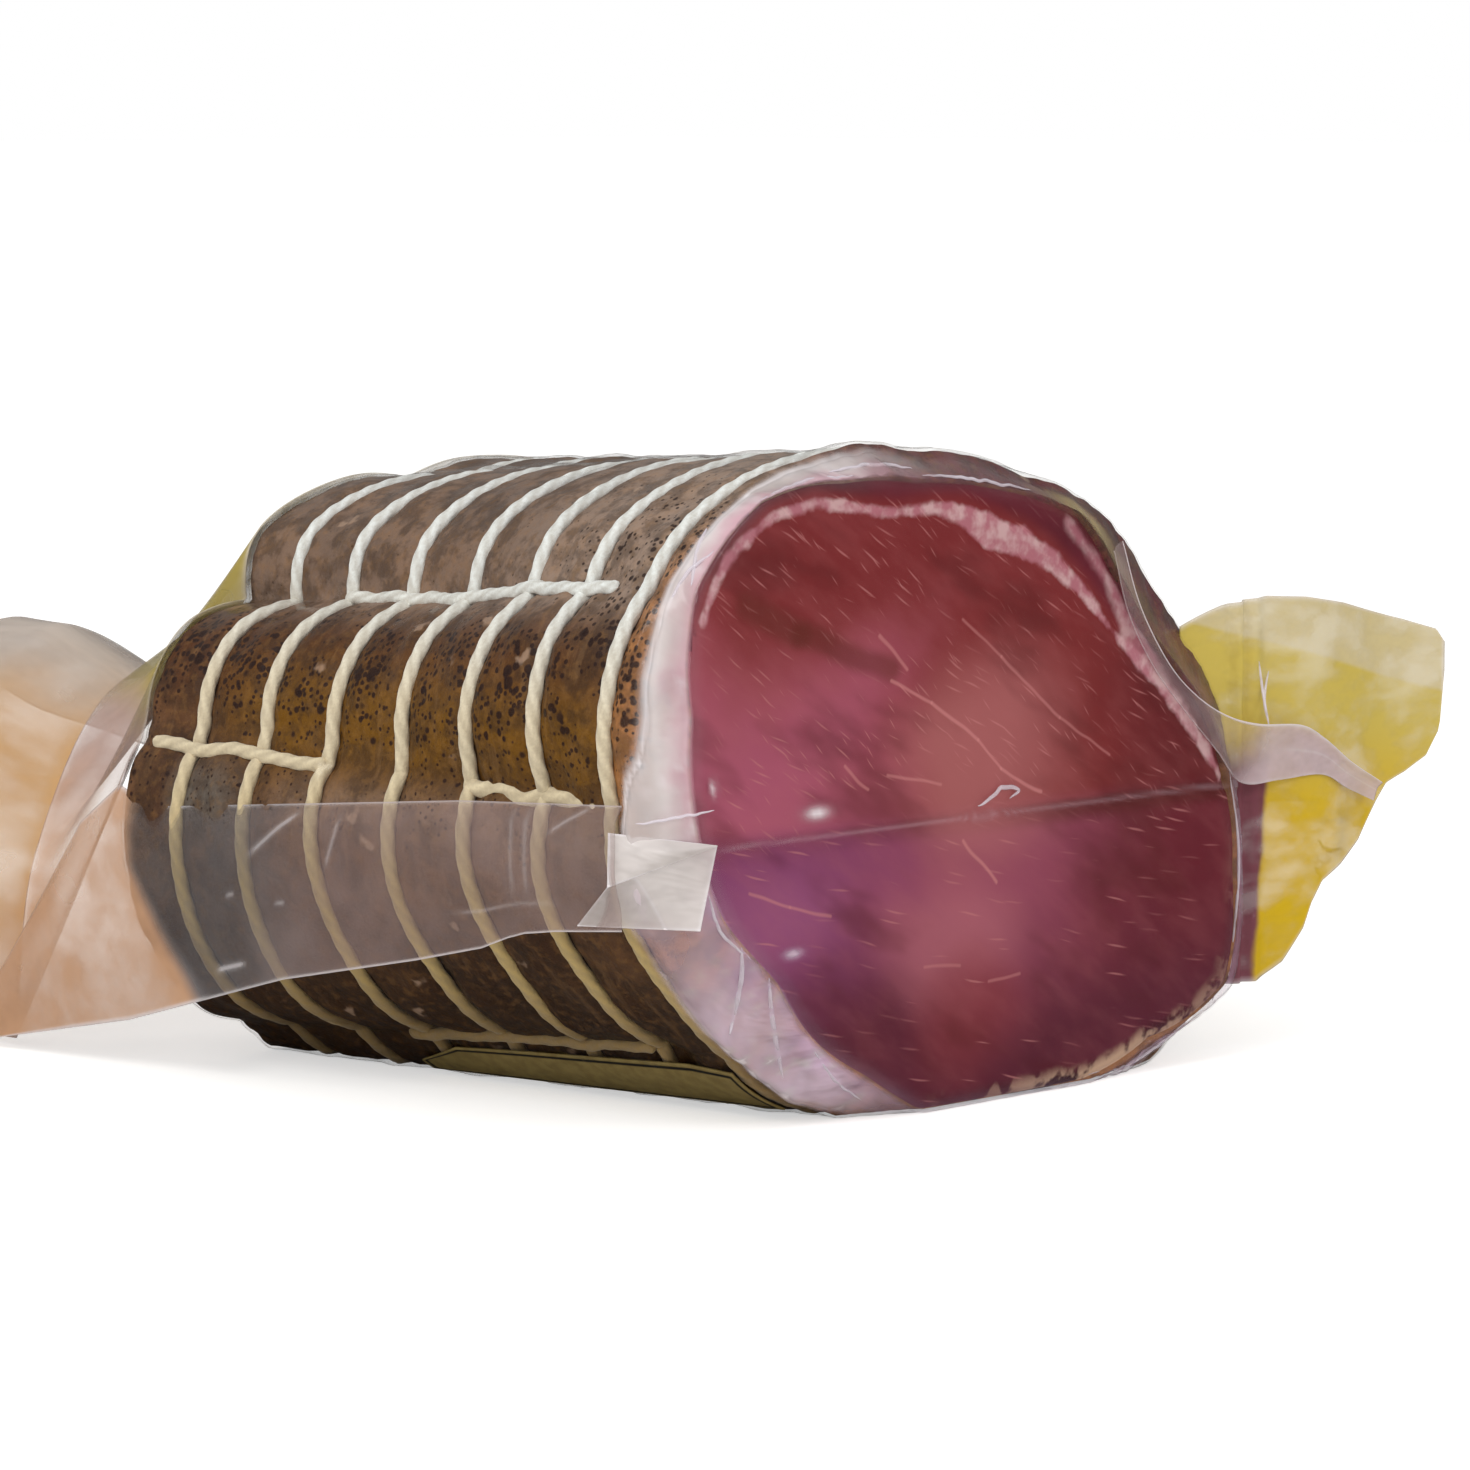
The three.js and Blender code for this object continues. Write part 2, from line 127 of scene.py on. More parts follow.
def ripple(points, size, seed, waves=14):
    """Smooth random relief, mostly from -1 to 1: a scaled sum of plane waves about size long, each in
    its own random direction and phase."""
    random = np.random.default_rng(seed)
    total = 0
    for _ in range(waves):
        way = random.normal(size=3)
        way /= np.linalg.norm(way) * size * random.uniform(0.7, 1.5)
        total = total + np.sin(2 * np.pi * (points @ way) + random.uniform(0, 2 * np.pi))
    return total / math.sqrt(2 * waves)


def share_along(y):
    """0 at the cut, 1 at the far rim."""
    return np.clip((y - CUT_Y) / (FAR_RIM_Y - CUT_Y), 0, 1)


def section_angle(angle, y):
    """Angle with the near side's strands creeping up 2.4 degrees at the cut and down at the far rim."""
    return angle + (2.4 - 4.8 * share_along(y)) * bell(angle_gap(angle, 165), 30)


def middle_z(y):
    """Height of the middle of the section, which falls from 102 to 95 mm high over the length."""
    return (102 - 7 * share_along(y) - RESTING_FLAT) / 2


def flat_depth(angle, flat):
    """A flat's depth, falling like a bell of its spread on both sides of its angle."""
    centre, depth, spread = flat
    return depth * bell(angle_gap(angle, centre), spread)


def lobe_radius(angle, y):
    """A leaning superellipse, swollen 1.4 mm, less the far shoulder's flat, the near side's two flats,
    and a pinched groove along each strand: each groove is part wide bell and part sharp crease."""
    turned = section_angle(angle, y)
    share = share_along(y)
    wide = np.abs(np.cos(np.radians(turned))) / (70 + 1.5 * share)
    high = np.abs(np.sin(np.radians(turned))) / (middle_z(y) + RESTING_FLAT)
    radius = (wide**2.4 + high**2.4) ** (-1 / 2.4)
    radius = radius * (1 - (0.085 - 0.1 * share) * np.sin(2 * np.radians(turned)))
    radius = radius + 1.4 - flat_depth(turned, SHOULDER_FLAT)
    above_strand = ramp(share, 0.2, 0.62) * ramp(angle, 178, 171)
    radius = radius - above_strand * flat_depth(angle, SIDE_FLAT)
    radius = radius - ramp(share, 0.85, 0.45) * flat_depth(angle, LOW_FLAT)
    shown = np.clip((y - CUT_Y - 3) / 18, 0, 1)
    for groove, near, far, _, _ in STRANDS:
        arc = np.radians(angle_gap(angle, groove)) * radius
        pinch = 0.6 * bell(arc, 8) + 0.4 * np.exp(-np.abs(arc) / 3)
        radius = radius - shown * (near + (far - near) * share) * pinch
    return radius


def near_hoops(y, width):
    """1 on each hoop's line, falling like a bell of that width."""
    return sum(bell(y - hoop, width) for hoop in HOOP_Y)


def rim_inset(angle, y):
    """How far the surface is drawn in beside the cut: nothing at 6 mm from it, all at the cut."""
    inset = np.interp(section_angle(angle, y) % 360, np.arange(0, 361, 15), RIM_INSET)
    return inset * np.clip((CUT_Y + 6 - y) / 6, 0, 1)


def round_loin(angle, y, radius, lowest):
    """Points at a radius round the section's middle, flattened where they would pass the rest."""
    turned = np.radians(section_angle(angle, y))
    z = middle_z(y) + radius * np.sin(turned)
    return np.stack([radius * np.cos(turned), y + 0 * turned, np.maximum(z, lowest)], -1)


def out_of_section(points):
    """Directions from the section's middle out to points, square to Y and 1 long."""
    out = points - np.stack([0 * points[:, 0], points[:, 1], middle_z(points[:, 1])], -1)
    return out / np.maximum(np.linalg.norm(out, axis=1), 1e-6)[:, None]


def grid_quads(rows, columns, round_columns=True):
    """Corners of the quads between rows x columns points, joined round if asked."""
    row, column = np.meshgrid(
        np.arange(rows - 1), np.arange(columns if round_columns else columns - 1), indexing="ij"
    )
    here = row * columns + column
    beside = row * columns + (column + 1) % columns
    return np.stack([here, beside, beside + columns, here + columns], -1).reshape(-1, 4)


def pole_quads(pole, first, columns):
    """Quads from a pole to each second pair of edges of a ring."""
    start = np.arange(0, columns, 2)
    after = first + (start + 2) % columns
    return np.stack([start * 0 + pole, after, first + start + 1, first + start], -1)


def body_quads(rows, columns):
    """Quads of a closed body: its rings, then the pole at its first ring and the one at its last."""
    pole = rows * columns
    return np.concatenate([
        grid_quads(rows, columns),
        pole_quads(pole, 0, columns),
        pole_quads(pole + 1, pole - columns, columns)[:, ::-1],
    ])[:, ::-1]


def make_piece(name, points, quads, material, slot, **fields):
    """A smooth mesh of quads in metres, with one value per point for each named field."""
    mesh = bpy.data.meshes.new(name)
    mesh.vertices.add(len(points))
    mesh.vertices.foreach_set("co", (points * MILLIMETRE).astype(np.float32).ravel())
    mesh.loops.add(quads.size)
    mesh.loops.foreach_set("vertex_index", quads.astype(np.int32).ravel())
    mesh.polygons.add(len(quads))
    mesh.polygons.foreach_set("loop_start", np.arange(0, quads.size, 4, dtype=np.int32))
    mesh.update(calc_edges=True)
    mesh.shade_smooth()
    for field, values in fields.items():
        layer = mesh.attributes.new(field, "FLOAT", "POINT")
        layer.data.foreach_set("value", np.broadcast_to(values, len(points)).astype(np.float32))
    for each in material if isinstance(material, tuple) else (material,):
        mesh.materials.append(each)
    piece = bpy.data.objects.new(name, mesh)
    bpy.context.scene.collection.objects.link(piece)
    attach(piece, "root")
    return piece


class Shader:
    """A material's node tree, with one short call for each kind of node."""

    def __init__(self, name):
        self.material = bpy.data.materials.new(name)
        self.material.use_nodes = True
        self.tree = self.material.node_tree
        self.tree.nodes.clear()
        self.end = self.tree.nodes.new("ShaderNodeOutputMaterial")
        self.place = self.tree.nodes.new("ShaderNodeTexCoord").outputs["Object"]

    def put(self, socket, value):
        if isinstance(value, bpy.types.NodeSocket):
            self.tree.links.new(value, socket)
        else:
            socket.default_value = value

    def add(self, kind, inputs, output=0, **settings):
        node = self.tree.nodes.new("ShaderNode" + kind)
        for key, value in settings.items():
            setattr(node, key, value)
        for key, value in inputs.items():
            self.put(node.inputs[key], value)
        return node.outputs[output]

    def math(self, operation, *values):
        return self.add("Math", dict(enumerate(values)), operation=operation)

    def axes(self):
        """The place along X, Y and Z."""
        return [self.add("SeparateXYZ", {"Vector": self.place}, output=axis) for axis in range(3)]

    def smooth(self, value, low, high, start=0.0, end=1.0):
        """start below low, end above high, with a soft S between."""
        inputs = {"Value": value, "From Min": low, "From Max": high, "To Min": start, "To Max": end}
        return self.add("MapRange", inputs, interpolation_type="SMOOTHSTEP")

    def mix(self, share, first, second):
        return self.add("Mix", {0: share, 6: first, 7: second}, output=2, data_type="RGBA")

    def field(self, name):
        return self.add("Attribute", {}, output="Fac", attribute_name=name)

    def stretched(self, lengths, tilt=0.0):
        """Places for a pattern made so much longer along X, Y and Z, and tilted about Y in degrees."""
        inputs = {"Vector": self.place, "Scale": lengths, "Rotation": (0, math.radians(tilt), 0)}
        return self.add("Mapping", inputs, vector_type="TEXTURE")

    def noise(self, scale, detail=3, rough=0.55, place=None, twist=0.0):
        inputs = {"Vector": place or self.place, "Scale": scale, "Detail": detail, "Roughness": rough}
        return self.add("TexNoise", {**inputs, "Distortion": twist}, output="Fac")

    def centred(self, noise, reach):
        """A noise of 0 to 1 moved to lie evenly on both sides of 0, reach long in all."""
        return self.math("MULTIPLY_ADD", noise, reach, -reach / 2)

    def cells(self, scale, place=None, output="Distance", dimensions="3D"):
        inputs = {"Vector": place or self.place, "Scale": scale}
        return self.add("TexVoronoi", inputs, output=output, voronoi_dimensions=dimensions)

    def bent(self, scale, reach, place=None):
        """Places pushed about by a noise, up to reach along each axis."""
        inputs = {"Vector": self.place, "Scale": scale, "Detail": 2}
        push = self.add("VectorMath", {
            0: self.add("TexNoise", inputs, output="Color"), 1: (0.5, 0.5, 0.5),
        }, operation="SUBTRACT")
        onto = {0: push, 1: reach, 2: place or self.place}
        return self.add("VectorMath", onto, operation="MULTIPLY_ADD")

    def bump(self, height, strength, distance):
        return self.add("Bump", {"Height": height, "Strength": strength, "Distance": distance})

    def finish(self, shader):
        self.tree.links.new(shader, self.end.inputs["Surface"])
        return self.material


crust = Shader("spice_crust")
mottle = crust.noise(210, 4, 0.65)
fine = crust.noise(620, 3, 0.6)
fibre = crust.noise(430, 3, 0.6, crust.stretched((7, 1, 7)))
brown = crust.mix(crust.smooth(crust.noise(60, 4, 0.6), 0.35, 0.65), paint(74, 45, 25), paint(114, 78, 48))
# Zones painted over the brown: the pale zone is a painted sheen of light, the yellowish brown low on the
# middle lobe a painted reflection, and the deep zone painted shade under the loin.
for zone, colour in (
    ("pale", paint(164, 140, 122)), ("umber", paint(84, 44, 10)), ("olive", paint(116, 76, 0)),
    ("mauve", paint(104, 98, 90)), ("orange", paint(176, 118, 68)), ("wine", paint(98, 26, 44)),
    ("deep", paint(54, 30, 6)),
):
    brown = crust.mix(crust.field(zone), brown, colour)
brown = crust.mix(crust.smooth(mottle, 0.4, 0.6, 0.55, 0.0), brown, paint(56, 36, 20))
brown = crust.mix(crust.smooth(fine, 0.45, 0.7, 0.0, 0.2), brown, paint(156, 112, 60))
brown = crust.mix(crust.smooth(fibre, 0.56, 0.72, 0.0, 0.16), brown, paint(164, 124, 80))
clusters = crust.math("MULTIPLY", crust.field("spice"), crust.smooth(crust.noise(80, 2, 0.5), 0.3, 0.5))
speckled = brown
for size, reach, chance in ((900, 0.5, 0.36), (520, 0.44, 0.45), (300, 0.36, 0.6)):
    kept = crust.smooth(crust.cells(size, output="Color"), chance - 0.04, chance + 0.04, 0.0, reach)
    near = crust.math("SUBTRACT", crust.math("MULTIPLY", clusters, kept), crust.cells(size))
    speckled = crust.mix(crust.smooth(near, -0.02, 0.12, 0.0, 0.9), speckled, paint(40, 17, 9))
flecks = crust.smooth(crust.cells(90, crust.bent(400, (0.004, 0.004, 0.004))), 0.15, 0.06, 0.0, 0.5)
speckled = crust.mix(flecks, speckled, paint(190, 158, 132))
crust_height = crust.math("MULTIPLY_ADD", fine, 0.5, crust.math("MULTIPLY", mottle, 0.8))
crust_material = crust.finish(crust.add("BsdfPrincipled", {
    "Base Color": speckled,
    "Roughness": crust.smooth(fine, 0.3, 0.7, 0.5, 0.75),
    "Specular IOR Level": 0.2,
    "Normal": crust.bump(crust_height, 0.8, 0.0006),
}))

# Long veins of fat on the cut: X and Z of both ends, half width and strength.
VEINS = (
    (-19.9, 68.9, -9.5, 65.0, 0.15, 0.6), (-9.5, 65.0, 1.1, 57.9, 0.2, 0.65),
    (1.1, 57.9, 5.9, 52.8, 0.15, 0.6), (5.9, 52.8, 15.5, 48.8, 0.2, 0.65),
    (-3.7, 77.2, 5.7, 71.0, 0.1, 0.4), (5.7, 71.0, 20.3, 60.4, 0.15, 0.45),
    (20.3, 60.4, 32.6, 53.0, 0.1, 0.4), (-22.2, 76.0, -16.5, 70.5, 0.2, 0.5),
    (-30.1, 55.7, -24.4, 52.1, 0.15, 0.5), (-2.4, 42.3, 4.8, 35.3, 0.2, 0.6),
    (-19.9, 54.1, -8.3, 51.4, 0.15, 0.5), (-51.2, 38.6, -42.4, 35.9, 0.15, 0.5),
    (-42.4, 35.9, -33.4, 33.3, 0.15, 0.5), (-11.6, 23.0, -3.4, 22.1, 0.15, 0.4),
    (3.7, 18.9, 10.9, 19.5, 0.15, 0.4),
)
# A brown streak on the cut, in the same way.
BROWN_STREAK = ((-52.3, 82.5, -40.2, 77.2, 2.2, 0.55), (-40.2, 77.2, -19.9, 70.7, 1.6, 0.55))
# Paler patches on the cut: place and size in metres, and colour.
PALE_PATCHES = (
    ((0.002, 0, 0.057), 0.030, paint(188, 112, 112)), ((-0.006, 0, 0.027), 0.026, paint(184, 104, 116)),
    ((-0.044, 0, 0.034), 0.018, paint(156, 84, 124)), ((0.0, 0, 0.013), 0.022, paint(138, 52, 58)),
)
# Short streaks of fat on the cut, one to a cell, in four crops: tilt, cell size in mm, how drawn out,
# reach, share of the cells left bare, and the heights in metres between which the crop fades in.
STREAK_CROPS = (
    (34, 1.3, 13, 0.17, 0.3, 0.050, 0.060), (24, 1.6, 12, 0.15, 0.35, 0.040, 0.050),
    (46, 1.1, 10, 0.15, 0.4, 0.036, 0.056), (12, 1.5, 13, 0.17, 0.35, 0.052, 0.042),
)

lean = Shader("cut_lean_and_fat")
x, _, z = lean.axes()
face = lean.add("CombineXYZ", {"X": x, "Y": z})
cloud = lean.noise(28, 3, 0.5)
across = lean.math("ADD", x, lean.centred(cloud, 0.04))
upward = lean.math("ADD", z, lean.centred(cloud, 0.03))
# The purple, magenta and pink towards the cut's left, above and below the crease, are a painted reflection
# of bluish light in the film over it; the cut also turns darker towards the right and the bottom.
upper = lean.mix(lean.smooth(across, -0.05, 0.005), paint(158, 72, 80), paint(130, 42, 42))
upper = lean.mix(lean.smooth(across, 0.015, 0.05), upper, paint(106, 28, 32))
upper = lean.mix(lean.smooth(upward, 0.066, 0.086), upper, paint(126, 38, 40))
pink_painted_sheen = lean.math("MULTIPLY", lean.smooth(across, 0.0, -0.045), lean.smooth(upward, 0.08, 0.058))
upper = lean.mix(pink_painted_sheen, upper, paint(172, 84, 108))
lower = lean.mix(lean.smooth(across, -0.045, -0.005), paint(134, 62, 104), paint(150, 70, 92))
lower = lean.mix(lean.smooth(across, 0.01, 0.05), lower, paint(108, 28, 42))
lower = lean.mix(lean.smooth(upward, 0.034, 0.008), lower, paint(96, 32, 50))
meat = lean.mix(lean.smooth(z, 0.049, 0.0435), upper, lower)
shadow_band = lean.math("MULTIPLY", lean.smooth(z, 0.042, 0.0448), lean.smooth(z, 0.0472, 0.0458))
shadow_band = lean.math("MULTIPLY", shadow_band, lean.smooth(x, -0.035, 0.03, 0.2, 0.85))
meat = lean.mix(shadow_band, meat, paint(88, 22, 20))
for place, size, tint in PALE_PATCHES:
    away = lean.add("VectorMath", {0: lean.bent(30, (0.02, 0, 0.02)), 1: place}, operation="SUBTRACT")
    away = lean.add("VectorMath", {0: away, 1: (1, 0, 1.4)}, operation="MULTIPLY")
    away = lean.add("VectorMath", {0: away}, operation="LENGTH", output="Value")
    meat = lean.mix(lean.smooth(away, size, size * 0.2, 0.0, 0.65), meat, tint)
grain = lean.noise(260, 3, 0.6, lean.stretched((3, 1, 1), 32))
meat = lean.mix(lean.smooth(grain, 0.35, 0.75, 0.0, 0.12), meat, paint(186, 104, 106))
dark_patch = lean.smooth(lean.noise(75, 3, 0.55, lean.stretched((2.6, 1, 1), 26)), 0.5, 0.68, 0.0, 0.5)
meat = lean.mix(dark_patch, meat, paint(88, 22, 22))
bent = lean.bent(60, (0.003, 0.003, 0.0), face)
clustered = lean.smooth(lean.noise(55, 2, 0.5), 0.36, 0.62, 0.25, 1.0)
for tilt, wide, ratio, reach, chance, low, high in STREAK_CROPS:
    turn = {"Vector": bent, "Rotation": (0, 0, math.radians(-tilt)), "Scale": (ratio, 1, 1)}
    lie = lean.add("Mapping", turn, vector_type="TEXTURE")
    per_metre = 1 / (wide * MILLIMETRE)
    kept = lean.smooth(lean.cells(per_metre, lie, "Color", "2D"), chance, chance + 0.3, 0.0, reach)
    inside = lean.math("SUBTRACT", kept, lean.cells(per_metre, lie, dimensions="2D"))
    shown = lean.math("MULTIPLY", lean.smooth(z, low, high, 0.0, 0.5), clustered)
    share = lean.math("MULTIPLY", lean.smooth(inside, 0.0, 0.13), shown)
    meat = lean.mix(share, meat, paint(204, 130, 128))


def along_segment(line, colour, soft):
    """Paints a line between two places on the cut, which fades over soft metres at its sides: each
    place is set against its nearest point on the line."""
    start, end = (np.array((*line[at:at + 2], 0)) * MILLIMETRE for at in (0, 2))
    step = end - start
    away = lean.add("VectorMath", {0: bent, 1: start}, operation="SUBTRACT")
    along = {0: away, 1: step / (step @ step)}
    reach = lean.add("VectorMath", along, operation="DOT_PRODUCT", output="Value")
    reach = lean.add("Clamp", {"Value": reach})
    foot = lean.add("VectorMath", {0: step, "Scale": reach}, operation="SCALE")
    distance = lean.add("VectorMath", {0: away, 1: foot}, operation="DISTANCE", output="Value")
    half, strength = line[4] * MILLIMETRE, line[5]
    return lean.mix(lean.smooth(distance, half + soft, half * 0.4, 0.0, strength), meat, colour)


for line in BROWN_STREAK:
    meat = along_segment(line, paint(98, 36, 24), 0.0015)
for line in VEINS:
    meat = along_segment(line, paint(206, 132, 130), 0.0003)
wobble = lean.centred(lean.noise(160, 4, 0.6), 3.2)
wine = lean.mix(lean.smooth(cloud, 0.4, 0.6), paint(98, 24, 42), paint(66, 14, 30))
meat = lean.mix(lean.smooth(lean.field("outside"), 0.0, 3.0, 0.0, 0.8), meat, wine)
fat = lean.mix(lean.smooth(lean.noise(240, 3), 0.4, 0.65), paint(190, 120, 132), paint(222, 184, 184))
for seam_field, softness, strength in (("seam", 0.5, 0.8), ("streak", 1.0, 0.6)):
    into = lean.math("ADD", lean.field(seam_field), wobble)
    meat = lean.mix(lean.smooth(into, -softness, softness, 0.0, strength), meat, fat)
edge = lean.math("ADD", lean.field("edge"), lean.math("MULTIPLY", wobble, 0.8))
rag = lean.math("MULTIPLY", lean.smooth(edge, 3.4, 0.8), lean.field("ragged"))
scraps = lean.mix(lean.smooth(lean.noise(190, 3), 0.45, 0.56), paint(56, 18, 20), paint(210, 176, 146))
meat = lean.mix(rag, meat, scraps)
lean_material = lean.finish(lean.add("BsdfPrincipled", {
    "Base Color": meat,
    "Roughness": 0.4,
    "Specular IOR Level": 0.2,
    "Normal": lean.bump(grain, 0.08, 0.0003),
}))


def toward_line(places, line):
    """How deep each X, Z place lies inside a line of given half width: the half width at the nearest
    point less the distance to it. Also the side it lies on, positive to the left of the way along."""
    deepest = np.full(len(places), -99.0)
    side = np.zeros(len(places))
    for start, end in zip(line[:-1], line[1:]):
        step = end[:2] - start[:2]
        share = np.clip(((places - start[:2]) @ step) / (step @ step), 0, 1)
        off = places - start[:2] - share[:, None] * step
        deep = start[2] + share * (end[2] - start[2]) - np.hypot(*off.T)
        nearer = deep > deepest
        side = np.where(nearer, np.sign(step[0] * off[:, 1] - step[1] * off[:, 0]), side)
        deepest = np.maximum(deepest, deep)
    return deepest, side


# Where the rings lie: shares of the way out over the cut, Y along the crust, closer together beside
# the cut, and shares of the way in over the far end.
angles = np.arange(LOIN_COLUMNS) * 360 / LOIN_COLUMNS
cut_shares = 1 - (1 - np.linspace(0.04, 1, 64)) ** 1.15
crust_y = np.concatenate([CUT_Y + np.linspace(0.35, 6, 12), np.linspace(CUT_Y + 6.8, FAR_RIM_Y, 140)])
end_shares = np.concatenate([1 - 0.12 * np.linspace(0, 1, 9)[1:] ** 1.5, np.linspace(0.86, 0.03, 24)])


def crust_radius(angle, y):
    """The lobes drawn in 1.6 mm under each hoop and beside the cut."""
    return lobe_radius(angle, y) - 1.6 * near_hoops(y, 2.2) - rim_inset(angle, y)


def crust_lumps(points):
    """Low swellings about 13 mm and 4.5 mm long."""
    return 0.45 * ripple(points, 13, 3) + 0.16 * ripple(points, 4.5, 4)


def end_bulge(share):
    """How far the rounded far end stands out past its rim, at a share of the way out to the rim."""
    return END_BULGE * np.clip(1 - share**2, 0, 1) ** 1.6


def loin_rings():
    """Rings from the middle of the cut out to its rim, along the crust, and in over the far end."""
    rim = round_loin(angles, np.full(LOIN_COLUMNS, CUT_Y), crust_radius(angles, CUT_Y), LOIN_LOWEST)
    middle = np.array([0, CUT_Y, middle_z(CUT_Y)])
    cut = middle + cut_shares[:, None, None] * (rim - middle)
    cut[..., 1] += 0.9 * cut_shares[:, None] ** 40
    angle, y = np.meshgrid(angles, crust_y)
    side = round_loin(angle, y, crust_radius(angle, y), LOIN_LOWEST)
    hub = np.array([0, FAR_RIM_Y, middle_z(FAR_RIM_Y)])
    end = hub + end_shares[:, None, None] * (side[-1] - hub)
    end[..., 1] += end_bulge(end_shares)[:, None]
    return np.concatenate([cut, side, end])


rings = loin_rings()
row_count = len(rings)
poles = np.array([[0, CUT_Y, middle_z(CUT_Y)], [0, FAR_RIM_Y + END_BULGE, middle_z(FAR_RIM_Y)]])
points = np.concatenate([rings.reshape(-1, 3), poles])
on_cut = np.append(np.repeat(np.arange(row_count) < len(cut_shares), LOIN_COLUMNS), [True, False])
lump = crust_lumps(points) + 0.1 * ripple(points, 2.6, 6)
beside_cut = np.clip((points[:, 1] - CUT_Y) / 3, 0, 1)
on_crust = (~on_cut & (points[:, 1] <= FAR_RIM_Y)) * beside_cut
points = points + (lump * on_crust)[:, None] * out_of_section(points)
points[:, 2] = np.maximum(points[:, 2], LOIN_LOWEST)
places = points[:, [0, 2]]
seam_depth, seam_side = toward_line(places, FAT_SEAM)
streak_depth, _ = toward_line(places, FAT_STREAK)
points[:, 1] += on_cut * (0.25 * ripple(points, 22, 5) + 0.35 * bell(seam_depth, 1.6))
points[:, 1] += on_cut * 0.5 * bell(points[:, 2] - CREASE_Z + 0.4, 0.9)
ring_angle = np.append(np.tile(angles, row_count), [0, 0])
ring_y = points[:, 1]
row_gap = np.append((1 - cut_shares) * 52, np.zeros(row_count - len(cut_shares)))
rim_gap = np.append(np.repeat(row_gap, LOIN_COLUMNS), [52, 0])
low_lobe = bell(angle_gap(ring_angle, 169.5), 7.5)
top_side = ramp(ring_angle, 154, 146) * ramp(ring_angle, 40, 70)
top_rim = 0.8 * ramp(ring_angle, 130, 105) * ramp(ring_angle, 20, 50)
beside_rim = ramp(ring_y, CUT_Y + 13, CUT_Y + 8)
loin = make_piece(
    "cured_loin",
    points,
    body_quads(row_count, LOIN_COLUMNS),
    (crust_material, lean_material),
    "cured_meat",
    seam=seam_depth,
    streak=streak_depth,
    outside=np.where(seam_side > 0, -seam_depth, -20),
    edge=rim_gap,
    ragged=bell(angle_gap(ring_angle, 302), 26),
    # Painted sheen: paler on the top side, more so towards the cut, and in thin bands beside two strands.
    pale=np.clip(
        top_side * (0.4 + 0.45 * ramp(ring_y, 0, -45)) + 0.4 * bell(angle_gap(ring_angle, 151), 4)
        + 0.5 * bell(angle_gap(ring_angle, 179.5), 3.5) * ramp(ring_y, 26, 12), 0, 1,
    ),
    umber=0.75 * bell(angle_gap(ring_angle, 162), 9) * ramp(ring_y, -62, -40),
    # Painted reflection: yellowish brown low on the middle lobe, away from both ends.
    olive=np.clip(1.2 * low_lobe * ramp(ring_y, 48, 20) * ramp(ring_y, -66, -50), 0, 0.97),
    mauve=0.8 * bell(angle_gap(ring_angle, 181), 4.5) * ramp(ring_y, 22, 34) * ramp(ring_y, 46, 42),
    orange=beside_rim * 0.85 * ramp(ring_angle, 132, 152),
    wine=np.clip(ramp(ring_y, -20, -45) * bell(angle_gap(ring_angle, 35), 34) + beside_rim * top_rim, 0, 1),
    # Painted shade: dark all under the loin, away from the cut.
    deep=ramp(ring_angle, 182, 215) * ramp(ring_angle, 350, 300) * (1 - beside_rim) * 0.92,
    spice=0.3 + 0.7 * bell(angle_gap(ring_angle, 162), 10) + 0.25 * bell(angle_gap(ring_angle, 180), 6)
    + 0.5 * ramp(ring_y, -20, -50) * bell(angle_gap(ring_angle, 142), 12),
)
face_on_cut = on_cut[body_quads(row_count, LOIN_COLUMNS)].all(1)
loin.data.polygons.foreach_set("material_index", face_on_cut.astype(np.int32))

# Net: seven elastic hoops round the loin, each a twisted three-ply cotton cord that sinks into the
# crust, and the lengthwise strands that tie them where they show.
CORD_HALF_WIDTH = 1.3
CORD_HALF_HEIGHT = 1.05
CORD_SEAT = 0.75
CORD_LOWEST = 1.3
PLIES = 3
PLY_PITCH = 4.4
HOOP_STEPS = 980
STRAND_STEP = 0.35
# How far a strand's middle stands out of the crust, and its half width and half height.
STRAND_STANDS = 0.35
STRAND_SIZE = (1.15, 0.9)
# The one strand that lies half sunk and flat: its angle, the stretch that shows, seat, size and pitch.
SUNK_ANGLE = 175.5
SUNK_Y = (-53, -22)
SUNK_SEAT = 0.2
SUNK_SIZE = (1.3, 0.7)
SUNK_PITCH = 6.0

cord = Shader("twisted_cord")
fibre = cord.noise(1400, 3, 0.6)
_, _, height = cord.axes()
# The cord's cream is painted whiter towards the top and darker towards the bottom: painted light and shade,
# as if lit from above.
shade = cord.mix(cord.smooth(height, 0.03, 0.062), paint(206, 178, 112), paint(238, 224, 192))
shade = cord.mix(cord.smooth(height, 0.062, 0.085), shade, paint(248, 252, 248))
shade = cord.mix(cord.smooth(height, 0.026, 0.008), shade, paint(158, 128, 72))
shade = cord.mix(cord.smooth(fibre, 0.3, 0.75, 0.25, 0.0), shade, paint(160, 142, 118))
# Painted shade: darker in the valleys between the plies.
shade = cord.mix(cord.math("MULTIPLY", cord.field("valley"), 0.35), shade, paint(140, 120, 92))
cord_material = cord.finish(cord.add("BsdfPrincipled", {
    "Base Color": shade,
    "Roughness": 0.75,
    "Specular IOR Level": 0.25,
    "Sheen Weight": 0.2,
    "Normal": cord.bump(fibre, 0.5, 0.0003),
}))


